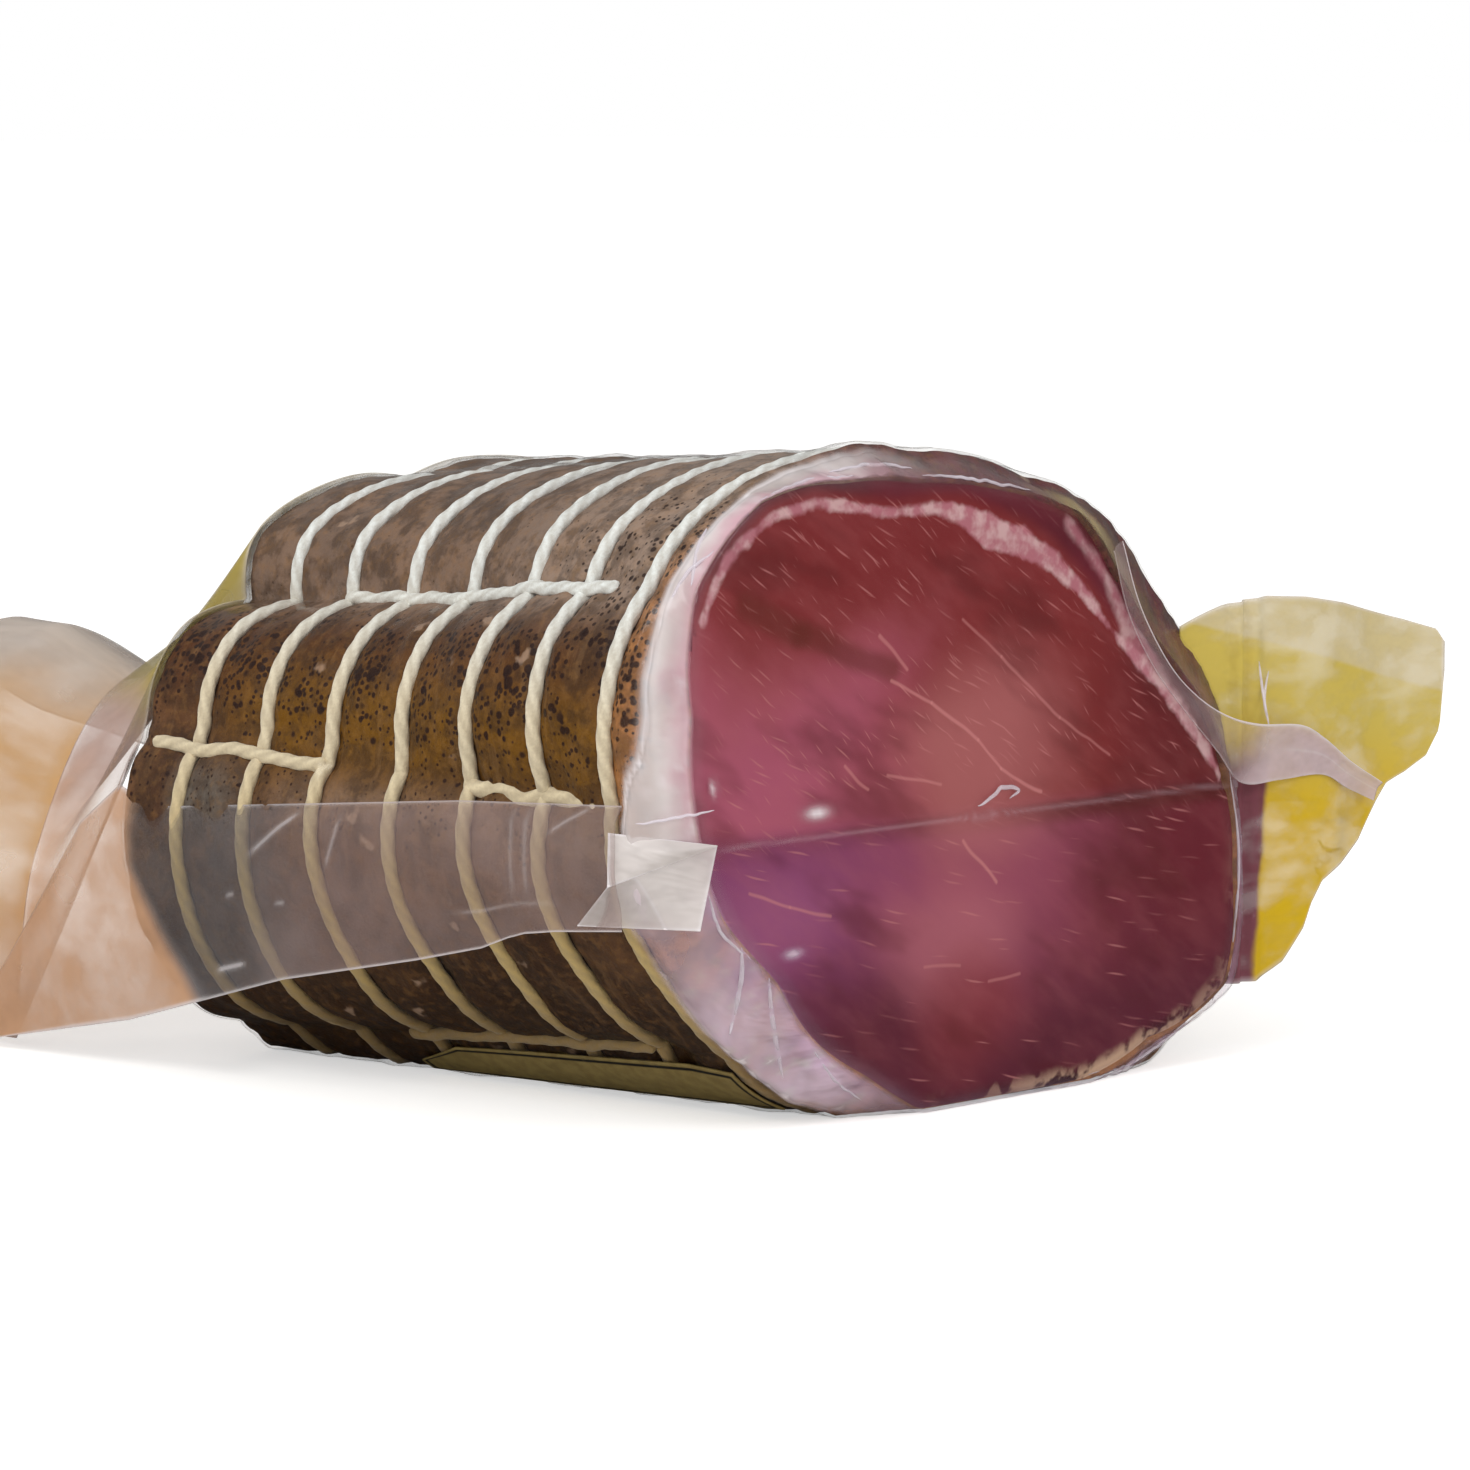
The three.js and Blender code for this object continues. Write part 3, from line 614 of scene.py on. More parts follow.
def twisted_cord(path, up, size, closed, pitch=PLY_PITCH, sides=12, ply=0.07, ends=1.0):
    """A cord along a path: an oval profile of that half width and half height carried along it,
    swollen by one wave round the profile for each ply, which turns once a pitch, and rounded off
    over so many half widths at open ends. Gives its points, its quads and the valleys' depth."""
    half_width, half_height = size
    ahead = np.roll(path, -1, 0) - np.roll(path, 1, 0)
    if not closed:
        ahead[0] = path[1] - path[0]
        ahead[-1] = path[-1] - path[-2]
    ahead /= np.linalg.norm(ahead, axis=1)[:, None]
    beside = np.cross(ahead, up)
    beside /= np.linalg.norm(beside, axis=1)[:, None]
    above = np.cross(beside, ahead)
    steps = np.linalg.norm(np.diff(path, axis=0, append=path[:1]), axis=1)
    run = np.concatenate([[0], np.cumsum(steps)[:-1]])
    turns = run / pitch
    if closed:
        turns = turns * round(steps.sum() / pitch) / (steps.sum() / pitch)
    round_cord = np.arange(sides) * 2 * np.pi / sides
    swell = np.cos(PLIES * (round_cord[None, :] - 2 * np.pi * turns[:, None] / PLIES))
    taper = np.ones(len(path))
    if not closed:
        reach = np.minimum(run, run[-1] - run)
        reach = np.clip(reach / (half_width * ends), 0, 1)
        taper = np.sqrt(np.clip(1 - (1 - reach) ** 2, 0.02, 1))
    scale = (1 + ply * swell) * taper[:, None]
    points = path[:, None] + scale[..., None] * (
        half_width * np.cos(round_cord)[None, :, None] * beside[:, None]
        + half_height * np.sin(round_cord)[None, :, None] * above[:, None]
    )
    points = points.reshape(-1, 3)
    valleys = ((1 - swell) / 2).ravel()
    if closed:
        quads = grid_quads(len(path) + 1, sides)[:, ::-1] % len(points)
        return points, quads, valleys
    points = np.concatenate([points, path[[0, -1]]])
    return points, body_quads(len(path), sides), np.append(valleys, [0, 0])


def join_parts(parts):
    """Several sets of points, quads and one field as one."""
    offsets = np.cumsum([0] + [len(part[0]) for part in parts])
    return (
        np.concatenate([part[0] for part in parts]),
        np.concatenate([part[1] + offset for part, offset in zip(parts, offsets)]),
        np.concatenate([part[2] for part in parts]),
    )


def seated(angle, y, seat):
    """Points at a depth under the lobes' surface, with the direction out of the crust."""
    points = round_loin(angle, y, lobe_radius(angle, y) - seat - rim_inset(angle, y), CORD_LOWEST)
    return points, out_of_section(points)


hoop_angle = np.arange(HOOP_STEPS) * 360 / HOOP_STEPS
turned = np.radians(hoop_angle)
hoop_parts = []
for number, hoop in enumerate(HOOP_Y):
    sway = np.stack([np.cos(turned), np.sin(turned), 0 * turned + number], -1)
    hoop_path, hoop_up = seated(hoop_angle, hoop + 0.5 * ripple(sway, 0.55, 20 + number), CORD_SEAT)
    hoop_parts.append(twisted_cord(hoop_path, hoop_up, (CORD_HALF_WIDTH, CORD_HALF_HEIGHT), True))
points, quads, valley = join_parts(hoop_parts)
make_piece("net_hoops", points, quads, cord_material, "net_cord", valley=valley)

strand_parts = []
for number, (groove, _, _, start, end) in enumerate(STRANDS):
    if end > start:
        strand_y = np.linspace(start, end, int((end - start) / STRAND_STEP))
        sway = np.stack([strand_y, 0 * strand_y, 0 * strand_y + number], -1)
        strand_angle = groove + 0.5 * ripple(sway, 11, 40 + number)
        strand_path, strand_up = seated(strand_angle, strand_y, -STRAND_STANDS)
        strand_parts.append(twisted_cord(strand_path, strand_up, STRAND_SIZE, False))
sunk_y = np.linspace(*SUNK_Y, 90)
sway = ripple(np.stack([sunk_y, 0 * sunk_y, 0 * sunk_y], -1), 8, 47)
sunk_path, sunk_up = seated(SUNK_ANGLE + 0.6 * sway, sunk_y, SUNK_SEAT)
strand_parts.append(twisted_cord(sunk_path, sunk_up, SUNK_SIZE, False, SUNK_PITCH))
points, quads, valley = join_parts(strand_parts)
make_piece("net_strands", points, quads, cord_material, "net_cord", valley=valley)

# Bag: clear film sucked on to the loin all round, a closed skin that is stretched white along the
# rim of the cut and creased by its seam.
FILM_COLUMNS = 440
FILM_LOWEST = 0.05
FILM_OFF_CUT = 0.6
FILM_OFF_END = 0.7
# Highlights painted on the film over the cut as white glints: X and Z, half length, half height and
# strength.
GLINTS = ((-37.0, 49.6, 2.6, 1.0, 1.0), (-59.8, 55.3, 0.7, 1.2, 0.8), (-42.4, 28.4, 1.8, 0.7, 0.7))


def clear_film(name, colour, haze, gloss, crinkle, crinkle_size, tints=None, grain=(1, 1, 0.5)):
    """Film that mixes a clear share with a faint milky colour, under a gloss that grows towards
    grazing sight. The point fields haze, line and crease add milk, a white line and crinkles; the
    white line is partly folded film and partly painted highlight."""
    film = Shader(name)
    fold = film.noise(crinkle_size, 3, 0.5, film.stretched((1, 1, 0.6)), 1.2)
    small = film.noise(crinkle_size * 4, 2, 0.5)
    depth = film.math("ADD", film.field("crease"), crinkle)
    folds = film.math("MULTIPLY", film.math("MULTIPLY_ADD", small, 0.2, fold), depth)
    normal = film.bump(folds, 1.0, 0.004)
    tint = tints(film, colour) if tints else colour
    line = film.field("line")
    tint = film.mix(line, tint, paint(250, 244, 246))
    cloudy = film.smooth(film.noise(70, 3, 0.55, film.stretched(grain)), 0.3, 0.7, 0.7, 1.25)
    milk = film.math("MULTIPLY", film.math("ADD", film.field("haze"), haze), cloudy)
    milk = film.math("MINIMUM", film.math("MAXIMUM", milk, film.math("MULTIPLY", line, 0.85)), 0.94)
    body = film.add("MixShader", {
        0: milk,
        1: film.add("BsdfTransparent", {}),
        2: film.add("BsdfDiffuse", {"Color": tint, "Normal": normal}),
    })
    facing = film.add("LayerWeight", {"Blend": 0.5, "Normal": normal}, output="Facing")
    mirror = film.math("MULTIPLY_ADD", film.math("POWER", facing, 5.0), 0.5, 0.02)
    shiny = film.add("BsdfGlossy", {"Roughness": gloss, "Normal": normal})
    return film.finish(film.add("MixShader", {0: mirror, 1: body, 2: shiny}))


def film_radius(angle, y):
    """The lobes' surface less the rim's inset, raised over each hoop and each strand that shows."""
    radius = lobe_radius(angle, y) - rim_inset(angle, y) + 0.45 + 0.4 * near_hoops(y, 2.6)
    for groove, _, _, start, end in STRANDS:
        shown = ramp(y, start - 2, start + 1) * ramp(y, end + 2, end - 1) * (end > start)
        radius = radius + 1.2 * shown * bell(np.radians(angle_gap(angle, groove)) * 55, 2.2)
    return radius


film_angles = np.arange(FILM_COLUMNS) * 360 / FILM_COLUMNS
film_cut_shares = 1 - (1 - np.linspace(0.04, 1, 46)) ** 1.15
film_y = np.concatenate([CUT_Y + np.linspace(0.4, 10, 24), np.linspace(CUT_Y + 10.9, FAR_RIM_Y, 100)])
film_end_shares = np.concatenate([1 - 0.12 * np.linspace(0, 1, 7)[1:] ** 1.5, np.linspace(0.85, 0.04, 28)])
film_cut_y = CUT_Y - FILM_OFF_CUT
film_end_y = FAR_RIM_Y + FILM_OFF_END
rim_radius = film_radius(film_angles, CUT_Y) + 0.2
rim = round_loin(film_angles, np.full(FILM_COLUMNS, film_cut_y), rim_radius, FILM_LOWEST)
near_pole = np.array([0, film_cut_y, middle_z(CUT_Y)])
cut_film = near_pole + film_cut_shares[:, None, None] * (rim - near_pole)
angle, y = np.meshgrid(film_angles, film_y)
side_film = round_loin(angle, y, film_radius(angle, y), FILM_LOWEST)
far_hub = np.array([0, film_end_y, middle_z(FAR_RIM_Y)])
end_film = far_hub + film_end_shares[:, None, None] * (side_film[-1] - far_hub)
end_film[..., 1] = film_end_y + end_bulge(film_end_shares)[:, None]
rings = np.concatenate([cut_film, side_film, end_film])
row_count = len(rings)
part_of_row = np.repeat([0, 1, 2], [len(cut_film), len(side_film), len(end_film)])
part = np.append(np.repeat(part_of_row, FILM_COLUMNS), [0, 2])
points = np.concatenate([rings.reshape(-1, 3), [near_pole, far_hub + (0, END_BULGE, 0)]])
ring_angle = np.append(np.tile(film_angles, row_count), [0, 0])
rim_share = np.ones(row_count)
rim_share[:len(film_cut_shares)] = film_cut_shares
from_rim = np.append(np.repeat(1 - rim_share, FILM_COLUMNS) * 50, [50, 0])
x, y, z = points.T
near_rim = (part == 1) * bell(y - CUT_Y, 4) + (part == 0) * bell(from_rim, 1.5)
lower_left = bell(angle_gap(ring_angle, 222), 26)
top_left = bell(angle_gap(ring_angle, 105), 26)
lower_right = bell(angle_gap(ring_angle, 310), 30)
top_right = bell(angle_gap(ring_angle, 56), 14)
left_band = ramp(ring_angle, 96, 128) * ramp(ring_angle, 196, 184)
pucker = near_rim * (0.6 * lower_left + 0.5 * top_left + 0.5 * lower_right + 0.2)
pucker = pucker * np.abs(ripple(points, 6, 60))
swell = (crust_lumps(points) * np.clip((y - CUT_Y) / 3, 0, 1) + pucker) * (part == 1)
points = points + swell[:, None] * out_of_section(points)
crease_ridge = bell(z - CREASE_Z, 0.8) * (np.abs(x) < 66)
points[:, 1] -= (part == 0) * (0.9 * crease_ridge + 0.12 * ripple(points, 30, 61) + 0.4 * pucker)
points[:, 2] = np.maximum(points[:, 2], FILM_LOWEST)
band_width = np.interp(
    ring_angle, (0, 60, 90, 105, 125, 150, 160, 168, 176, 184, 190, 205, 225, 250, 265, 290, 360),
    (2.5, 2.4, 3, 3.6, 3.8, 4.3, 4.0, 4.4, 6.2, 8.6, 9, 8.5, 6.5, 3.6, 2, 3, 2.5),
)
band_edge = CUT_Y + band_width + 0.4 * ripple(points * (0, 1, 1), 17, 64)
in_band = (part == 1) * ramp(y, band_edge + 0.8, band_edge - 0.8)
haze = 0.04 + 0.68 * left_band + 0.6 * lower_left + 0.3 * lower_right + 0.45 * top_right
haze = haze * in_band + 0.08 * near_rim
# The line field paints white: along the band's outer edge and in streaks over its crinkles it is partly
# folded film and partly painted highlight; the glints and the thin line along the crease are painted
# highlights.
line = (part == 1) * bell(y - band_edge, 0.6) * (0.8 * left_band + 0.6 * lower_left + 0.4 * lower_right)
streaks = ramp(ripple(points * (1, 0.35, 1), 3.6, 65), 0.2, 1.2)
line = line + in_band * streaks * (0.4 * left_band + 0.85 * lower_left + 0.4 * lower_right)
for glint_x, glint_z, long, high, strength in GLINTS:
    line = line + (part == 0) * strength * bell(np.hypot((x - glint_x) / long, (z - glint_z) / high), 1)
line = line + (part == 0) * 0.2 * bell(z - CREASE_Z, 0.35) * (np.abs(x) < 64)
crease = near_rim * (0.15 + 0.5 * lower_left + 0.4 * top_left + 0.4 * lower_right)


def band_tints(film, colour):
    """Pink where the film leaves the cut, whitish farther out, lilac low down and cream top right."""
    x, y, z = film.axes()
    cloud = film.centred(film.noise(90, 3, 0.5), 0.008)
    pink = film.mix(film.smooth(z, 0.05, 0.03), paint(218, 176, 186), paint(238, 206, 236))
    far = film.mix(film.smooth(z, 0.046, 0.03), colour, paint(248, 224, 242))
    tint = film.mix(film.smooth(film.math("ADD", y, cloud), -0.0675, -0.063), pink, far)
    cream = film.math("MULTIPLY", film.smooth(x, 0.008, 0.024), film.smooth(z, 0.06, 0.075))
    return film.mix(cream, tint, paint(214, 194, 142))


film_skin = clear_film("film_on_meat", paint(232, 222, 220), 0.0, 0.16, 0.1, 45, band_tints, (1, 1, 5))
bag = make_piece(
    "bag_film", points, body_quads(row_count, FILM_COLUMNS), film_skin, "bag_film",
    haze=haze, line=line, crease=crease,
)
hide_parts("sealed_bag")

# Tent and mouth flap: past the loin the bag's two films lie together. They run from the upper far
# rim straight down to the flat mouth, which arches over the surface.
TENT_END_Y = 88.0
FLAP_END_Y = 150.0
CREST_Y = (88, 98, 108, 122, 136, 150)
CREST_Z = (60, 64, 68, 68.5, 66, 62)
TENT_ROWS = 44
FLAP_ROWS = 52
MOUTH_COLUMNS = 240
FILM_WALL = 0.25


def smooth_curve(stops, share):
    """Catmull-Rom curve through stops, each an array of numbers, at shares from 0 to 1."""
    stops = np.array(stops, float)
    padded = np.concatenate([[2 * stops[0] - stops[1]], stops, [2 * stops[-1] - stops[-2]]])
    place = np.clip(share, 0, 1) * (len(stops) - 1)
    step = np.minimum(place.astype(int), len(stops) - 2)
    t = (place - step)[..., None]
    a, b, c, d = (padded[step + k] for k in range(4))
    return 0.5 * (2 * b + (c - a) * t + (2 * a - 5 * b + 4 * c - d) * t**2 + (3 * b - a - 3 * c + d) * t**3)


def share_grid(across, down):
    """The shares across and down a sheet, from 0 to 1, at each of its points."""
    u, v = np.meshgrid(np.linspace(0, 1, across), np.linspace(0, 1, down), indexing="ij")
    return u.ravel(), v.ravel()


def give_wall(piece, thickness):
    """Half of the thickness on each side of a sheet."""
    wall = piece.modifiers.new("wall", "SOLIDIFY")
    wall.thickness = thickness * MILLIMETRE
    wall.offset = 0


def film_sheet(name, surface, across, down, material, **fields):
    """A sheet given by a function of two shares, with a wall of film on both sides of it. Fields are
    functions of the two shares."""
    u, v = share_grid(across, down)
    points = surface(u, v)
    values = {field: give(u, v) for field, give in fields.items()}
    for field in ("haze", "line", "crease"):
        values.setdefault(field, 0.0 * u)
    piece = make_piece(name, points, grid_quads(across, down, False), material, "bag_film", **values)
    give_wall(piece, FILM_WALL)
    return piece


def mouth_arch(share, y):
    """The flap's section from its near edge to its far edge: a fixed curve, plus a second one that
    grows with the height of the crest at y."""
    fixed = smooth_curve([(-68, 1.2), (-63, 0), (-43, 0), (-10, -14), (32, -28), (98, 20)], share)
    rise = smooth_curve([(0,), (0.55,), (1,), (1,), (1,), (0,)], share)[:, 0]
    return np.stack([fixed[:, 0], y, fixed[:, 1] + np.interp(y, CREST_Y, CREST_Z) * rise], -1)


def tent_and_flap(u, v):
    """Straight from the rim to the first arch, sagging a little, then along the arches."""
    row = v * (TENT_ROWS + FLAP_ROWS)
    tent_share = np.clip(row / TENT_ROWS, 0, 1)[:, None]
    flap_share = np.clip(row / FLAP_ROWS - TENT_ROWS / FLAP_ROWS, 0, 1)
    angle = 180 * (1 - u)
    rim_y = np.full(len(u), FAR_RIM_Y + 0.6)
    rim = round_loin(angle, rim_y, film_radius(angle, FAR_RIM_Y) + 0.4, 0.2)
    first = mouth_arch(u, np.full(len(u), TENT_END_Y))
    tent = rim + tent_share * (first - rim)
    sag = np.sin(np.pi * tent_share[:, 0])
    tent[:, 2] -= 1.6 * sag * np.sin(np.pi * u)
    tent[:, 2] += 0.9 * sag * ripple(tent * (1, 0.25, 0), 15, 66)
    flap = mouth_arch(u, TENT_END_Y + (FLAP_END_Y - TENT_END_Y) * flap_share)
    flap[:, 2] += 0.7 * flap_share * ripple(flap * (1, 0.4, 0), 24, 63)
    flap[:, 2] += 0.6 * np.sin(np.pi * flap_share) * ripple(flap * (1, 0.2, 0), 12, 67)
    points = np.where(tent_share < 1, tent, flap)
    points[:, 2] = np.maximum(points[:, 2], 0.2)
    return points


def drape(u, v):
    """Random streaks that run along the bag."""
    return ripple(np.stack([160 * u, 16 * v, 0 * u], -1), 10, 68)


def mouth_haze(u, v):
    """Milkier on the near side, clearer behind the loin, on the far side and by the near fin."""
    in_tent = ramp(v, 0.5, 0.42)
    near = 0.4 * ramp(u, 0.46, 0.28) * in_tent - 0.34 * ramp(u, 0.45, 0.7) * (1 - in_tent)
    return near + 0.14 * drape(u, v) - 0.4 * ramp(u, 0.16, 0.08) * ramp(v, 0.46, 0.3)


def climb(film):
    """The height, and the height made uneven by a soft cloud."""
    _, _, z = film.axes()
    return z, film.math("ADD", z, film.centred(film.noise(22, 3, 0.5), 0.03))


def flap_tints(film, colour):
    """Peach, partly a wooden board under it seen through and partly its painted reflection, a
    little paler higher up, and whitish grey towards the crest, a painted sheen.
    """
    _, upward = climb(film)
    tint = film.mix(film.smooth(upward, 0.010, 0.034), paint(200, 150, 104), colour)
    return film.mix(film.smooth(upward, 0.048, 0.066), tint, paint(208, 194, 182))


def tent_tints(film, colour):
    """Olive up by the loin's rim, dusty pink below it and peach at the foot, partly a wooden
    board under it seen through and partly its painted reflection.
    """
    z, upward = climb(film)
    low = film.mix(film.smooth(upward, 0.03, 0.05), paint(204, 156, 116), paint(194, 164, 152))
    return film.mix(film.smooth(film.math("ADD", z, upward), 0.108, 0.128), low, colour)


film_tent = clear_film("film_tent", paint(186, 166, 88), 0.28, 0.2, 0.2, 30, tent_tints, (0.5, 3, 1))
film_flap = clear_film(
    "film_mouth_flap", paint(206, 162, 112), 0.66, 0.25, 0.24, 22, flap_tints, (0.5, 3, 1)
)
# In the line field, the white streaks along the drape are painted highlights on its folds.
mouth = film_sheet(
    "tent_and_flap", tent_and_flap, MOUTH_COLUMNS, TENT_ROWS + FLAP_ROWS + 1, (film_tent, film_flap),
    line=lambda u, v: 0.4 * bell(v, 0.008) + 0.6 * bell(1 - v, 0.006)
    + 0.5 * (bell(u, 0.004) + bell(1 - u, 0.004)) + 0.4 * ramp(drape(u, v), 1.3, 1.9),
    haze=mouth_haze,
)
in_flap = np.tile(np.arange(TENT_ROWS + FLAP_ROWS) >= TENT_ROWS, MOUTH_COLUMNS - 1).astype(np.int32)
mouth.data.polygons.foreach_set("material_index", in_flap)


# Side fins: the margins of the bag's two films outside its side seams, welded together and stiff
# enough to hold their shape. The near one hangs over the loin, and the far one stands out level.
FIN_START_Y = -60
NEAR_FIN_LENGTH = 154
FAR_FIN_LENGTH = 144


def near_fin(u, v):
    """Hangs from the side seam, clear of the lobe behind it, out to its free edge."""
    y = FIN_START_Y + NEAR_FIN_LENGTH * u
    top = np.interp(y, (-60, -25, 48, 56, 66, 88, 94), (53, 51, 44, 47, 40, 12, 6))
    low_y = (-60, -46, -40, -36, -30, -15, 16, 54, 94)
    low = np.interp(y, low_y, (34, 32.7, 31.9, 30.8, 28.6, 25.2, 19, 8.4, 0.6))
    hang = -71.6 - 1.4 * np.minimum(1, 8 * v) - 0.7 * np.sin(np.pi * v) + 1.2 * v
    wave = 0.35 * v * ripple(np.stack([y, 40 * v, 0 * y], -1), 22, 70)
    wave = wave - 0.5 * bell(y + 41, 3) * ramp(v, 0, 0.3)
    return np.stack([hang + wave, y, top + (low - top) * v], -1)


# Creases of the near fin, drawn as white lines that are painted highlights, as shares along it
# and down it at both ends, and their strength.
FIN_CREASES = (
    (0.458, 0.03, 0.544, 0.29, 0.5), (0.397, 0.06, 0.421, 0.4, 0.4), (0.035, 0.0, 0.098, 0.24, 0.4),
    (0.145, 0.0, 0.145, 0.72, 0.35), (0.123, 0.0, 0.123, 0.74, 0.35), (0.545, 0.86, 0.6, 0.86, 0.6),
    (0.077, 0.78, 0.249, 0.73, 0.3), (0.482, 0.56, 0.5, 0.56, 0.4), (0.56, 0.47, 0.576, 0.48, 0.4),
)


def creased(creases, base, width=0.003, squash=0.15):
    """A line field: its base plus a thin bell along each crease, tapered to nothing at its ends.
    Shares down the fin are squashed, because it is that much shorter down than along."""

    def field(u, v):
        total = base(u, v)
        for from_u, from_v, to_u, to_v, strength in creases:
            way = np.array((to_u - from_u, (to_v - from_v) * squash))
            share = ((u - from_u) * way[0] + (v - from_v) * squash * way[1]) / (way @ way)
            off = np.hypot(u - from_u - share * way[0], (v - from_v) * squash - share * way[1])
            inside = np.clip(share * (1 - share) * 6, 0, 1)
            total = total + strength * inside * bell(off, width)
        return np.clip(total, 0, 1)

    return field


def fin_tints(film, colour):
    """Mauve grey beside the loin, greyer by its far rim, and peach past it, where the loin's rim
    curves back under 34 mm of height. The peach is partly a wooden board under it seen through and
    partly its painted reflection."""
    _, y, z = film.axes()
    beside = film.mix(film.smooth(y, 0.0, 0.03), colour, paint(132, 126, 126))
    past_rim = film.math("MULTIPLY_ADD", film.math("MINIMUM", z, 0.034), -0.7, y)
    return film.mix(film.smooth(past_rim, 0.0255, 0.0305), beside, paint(204, 160, 126))


def fin_haze(u, v):
    """Milkier past the loin's rim, clearer by the rim's upper part."""
    past_rim = FIN_START_Y + NEAR_FIN_LENGTH * u - 0.7 * np.minimum(34, 44 - 35 * v)
    by_rim = 0.12 * bell(u - 0.52, 0.1) * v - 0.06 * ramp(u, 0.55, 0.66) * (1 - v)
    return 0.5 * ramp(past_rim, 26, 31) + by_rim


fin_film = clear_film("film_near_fin", paint(180, 154, 148), 0.2, 0.2, 0.07, 26, fin_tints, (2, 1, 1))
film_sheet(
    "near_fin", near_fin, 460, 90, fin_film,
    line=creased(FIN_CREASES, lambda u, v: 0.85 * bell(1 - v, 0.014) + 0.6 * bell(v, 0.012)),
    haze=fin_haze,
    crease=lambda u, v: 0.3 * bell(u - 0.13, 0.03),
)


def edge_lines(*sides, width=0.02):
    """A white line along the named sides of a sheet: u0, u1, v0 or v1."""
    away = {"u0": lambda u, v: u, "u1": lambda u, v: 1 - u, "v0": lambda u, v: v, "v1": lambda u, v: 1 - v}
    return lambda u, v: sum(bell(away[side](u, v), width) for side in sides)


def far_fin(u, v):
    """Lies out level on the far side and droops towards the mouth."""
    y = FIN_START_Y + FAR_FIN_LENGTH * u
    root = 46 - 6 * u
    edge = 40 - 14 * u
    wave = 1.2 * v * ripple(np.stack([y, 40 * v, 0 * y], -1), 34, 71)
    return np.stack([64 + 34 * v, y, root + (edge - root) * v + wave], -1)


film_sheet("far_fin", far_fin, 200, 40, fin_film, line=edge_lines("v1"))


# Corner fin and side fold: the bag's far corner, welded flat and standing out beside the cut, and the
# loose film that is pulled tight from the upper rim down to the corner's seam.
CORNER_START_X = 56
CORNER_LENGTH = 70


def corner_tints(film, colour):
    """Yellow film with a paler seal band along its top edge, and wine where meat lies behind it."""
    x, _, z = film.axes()
    rise = film.math("MULTIPLY_ADD", x, 0.24, z)
    down = film.smooth(film.math("MULTIPLY_ADD", x, 0.1, z), 0.066, 0.044)
    tint = film.mix(down, colour, paint(222, 184, 30))
    tint = film.mix(film.smooth(rise, 0.0862, 0.0872), tint, paint(220, 202, 148))
    leaning = film.math("MULTIPLY_ADD", z, -0.09, x)
    edge = film.math("MULTIPLY_ADD", film.noise(90, 3, 0.5), 0.003, leaning)
    behind = film.math("MULTIPLY", film.smooth(edge, 0.0758, 0.0742), film.smooth(z, 0.052, 0.046))
    return film.mix(behind, tint, paint(128, 72, 82))


def corner_fin(u, v):
    """Stands out beside the cut in a gently waved plane, between its top and low outlines."""
    x = CORNER_START_X + CORNER_LENGTH * u
    top = np.interp(x, (56, 67, 77, 86, 97, 116, 124, 126), (72, 74.8, 75.9, 75.3, 73.6, 69.5, 67.4, 65))
    low = np.interp(
        x, (56, 70, 75, 81, 86, 88, 91, 97, 103, 109, 112, 117, 122, 125, 126),
        (12, 11.2, 11.2, 14, 19.3, 23.3, 26.8, 29.1, 32.5, 38.7, 41.5, 43.1, 45.5, 50, 60),
    )
    wave = 1.5 * np.sin(x / 8) + 0.8 * bell(x - 72, 3) * np.sin(x * 1.4)
    return np.stack([x, -63 + wave, low + (top - low) * (1 - v)], -1)


corner_film = clear_film("film_corner", paint(216, 192, 92), 0.78, 0.18, 0.12, 35, corner_tints)
film_sheet(
    "corner_fin", corner_fin, 160, 120, corner_film,
    line=lambda u, v: 0.5 * (bell(v, 0.008) + bell(1 - v, 0.008) + bell(1 - u, 0.008)),
    haze=lambda u, v: 0.2 * ramp(u, 0.31, 0.27) * ramp(v, 0.25, 0.35),
    crease=lambda u, v: 0.6 * bell(u - 0.23, 0.06) + 0.6 * bell(u - 0.54, 0.07) * bell(v - 0.85, 0.2),
)


def side_fold(u, v):
    """Runs from the upper rim down beside the cut and out to the corner's lower tip: its upper edge
    is a taut fold and its lower edge the cut's rim, then the seam."""
    upper = smooth_curve([
        (33.8, 87.6), (38.4, 76.8), (45.6, 67.1), (52.9, 61.2), (61.0, 57.3), (69.8, 55.3),
        (82.2, 54.1), (89.8, 51.1), (97.5, 46.6), (106, 42.4),
    ], u)
    lower = smooth_curve([
        (32.6, 86.0), (36.4, 75.6), (42.8, 66.5), (50.5, 59.0), (59.0, 51.6), (65.5, 45.8),
        (76.5, 45.3), (89.9, 45.0), (97.5, 42.0), (104.7, 39.3),
    ], u)
    place = upper + (lower - upper) * v[:, None]
    y = -67.6 + 3 * ramp(place[:, 0], 62, 100) - 0.8 * bell(v, 0.2)
    return np.stack([place[:, 0], y, place[:, 1]], -1)


fold_film = clear_film("film_fold", paint(220, 198, 200), 0.1, 0.14, 0.14, 45)
film_sheet(
    "side_fold", side_fold, 260, 40, fold_film,
    line=lambda u, v: 0.9 * bell(v, 0.04) + 0.3 * bell(v - 0.45, 0.03) * ramp(u, 0.6, 0.7)
    + 0.4 * bell(1 - v, 0.04),
    haze=lambda u, v: 0.5 * ramp(u, 0.5, 0.64),
    crease=lambda u, v: 0.4 * ramp(u, 0.5, 0.7),
)


# Dog-ear: the near corner of the bag's film, folded over into a triangle that the vacuum holds flat
# against the rim of the cut, with its loose flap hanging below it.
EAR_CORNER = (-73.2, -58.6, 49.0)
EAR_FOLD = (-73.4, -58.6, 40.7)
EAR_ROOT = (-60.6, -69.2, 46.8)
EAR_FLAP_LOW = ((-73.6, -52.4, 34.4), (-62.6, -67.6, 33.9))


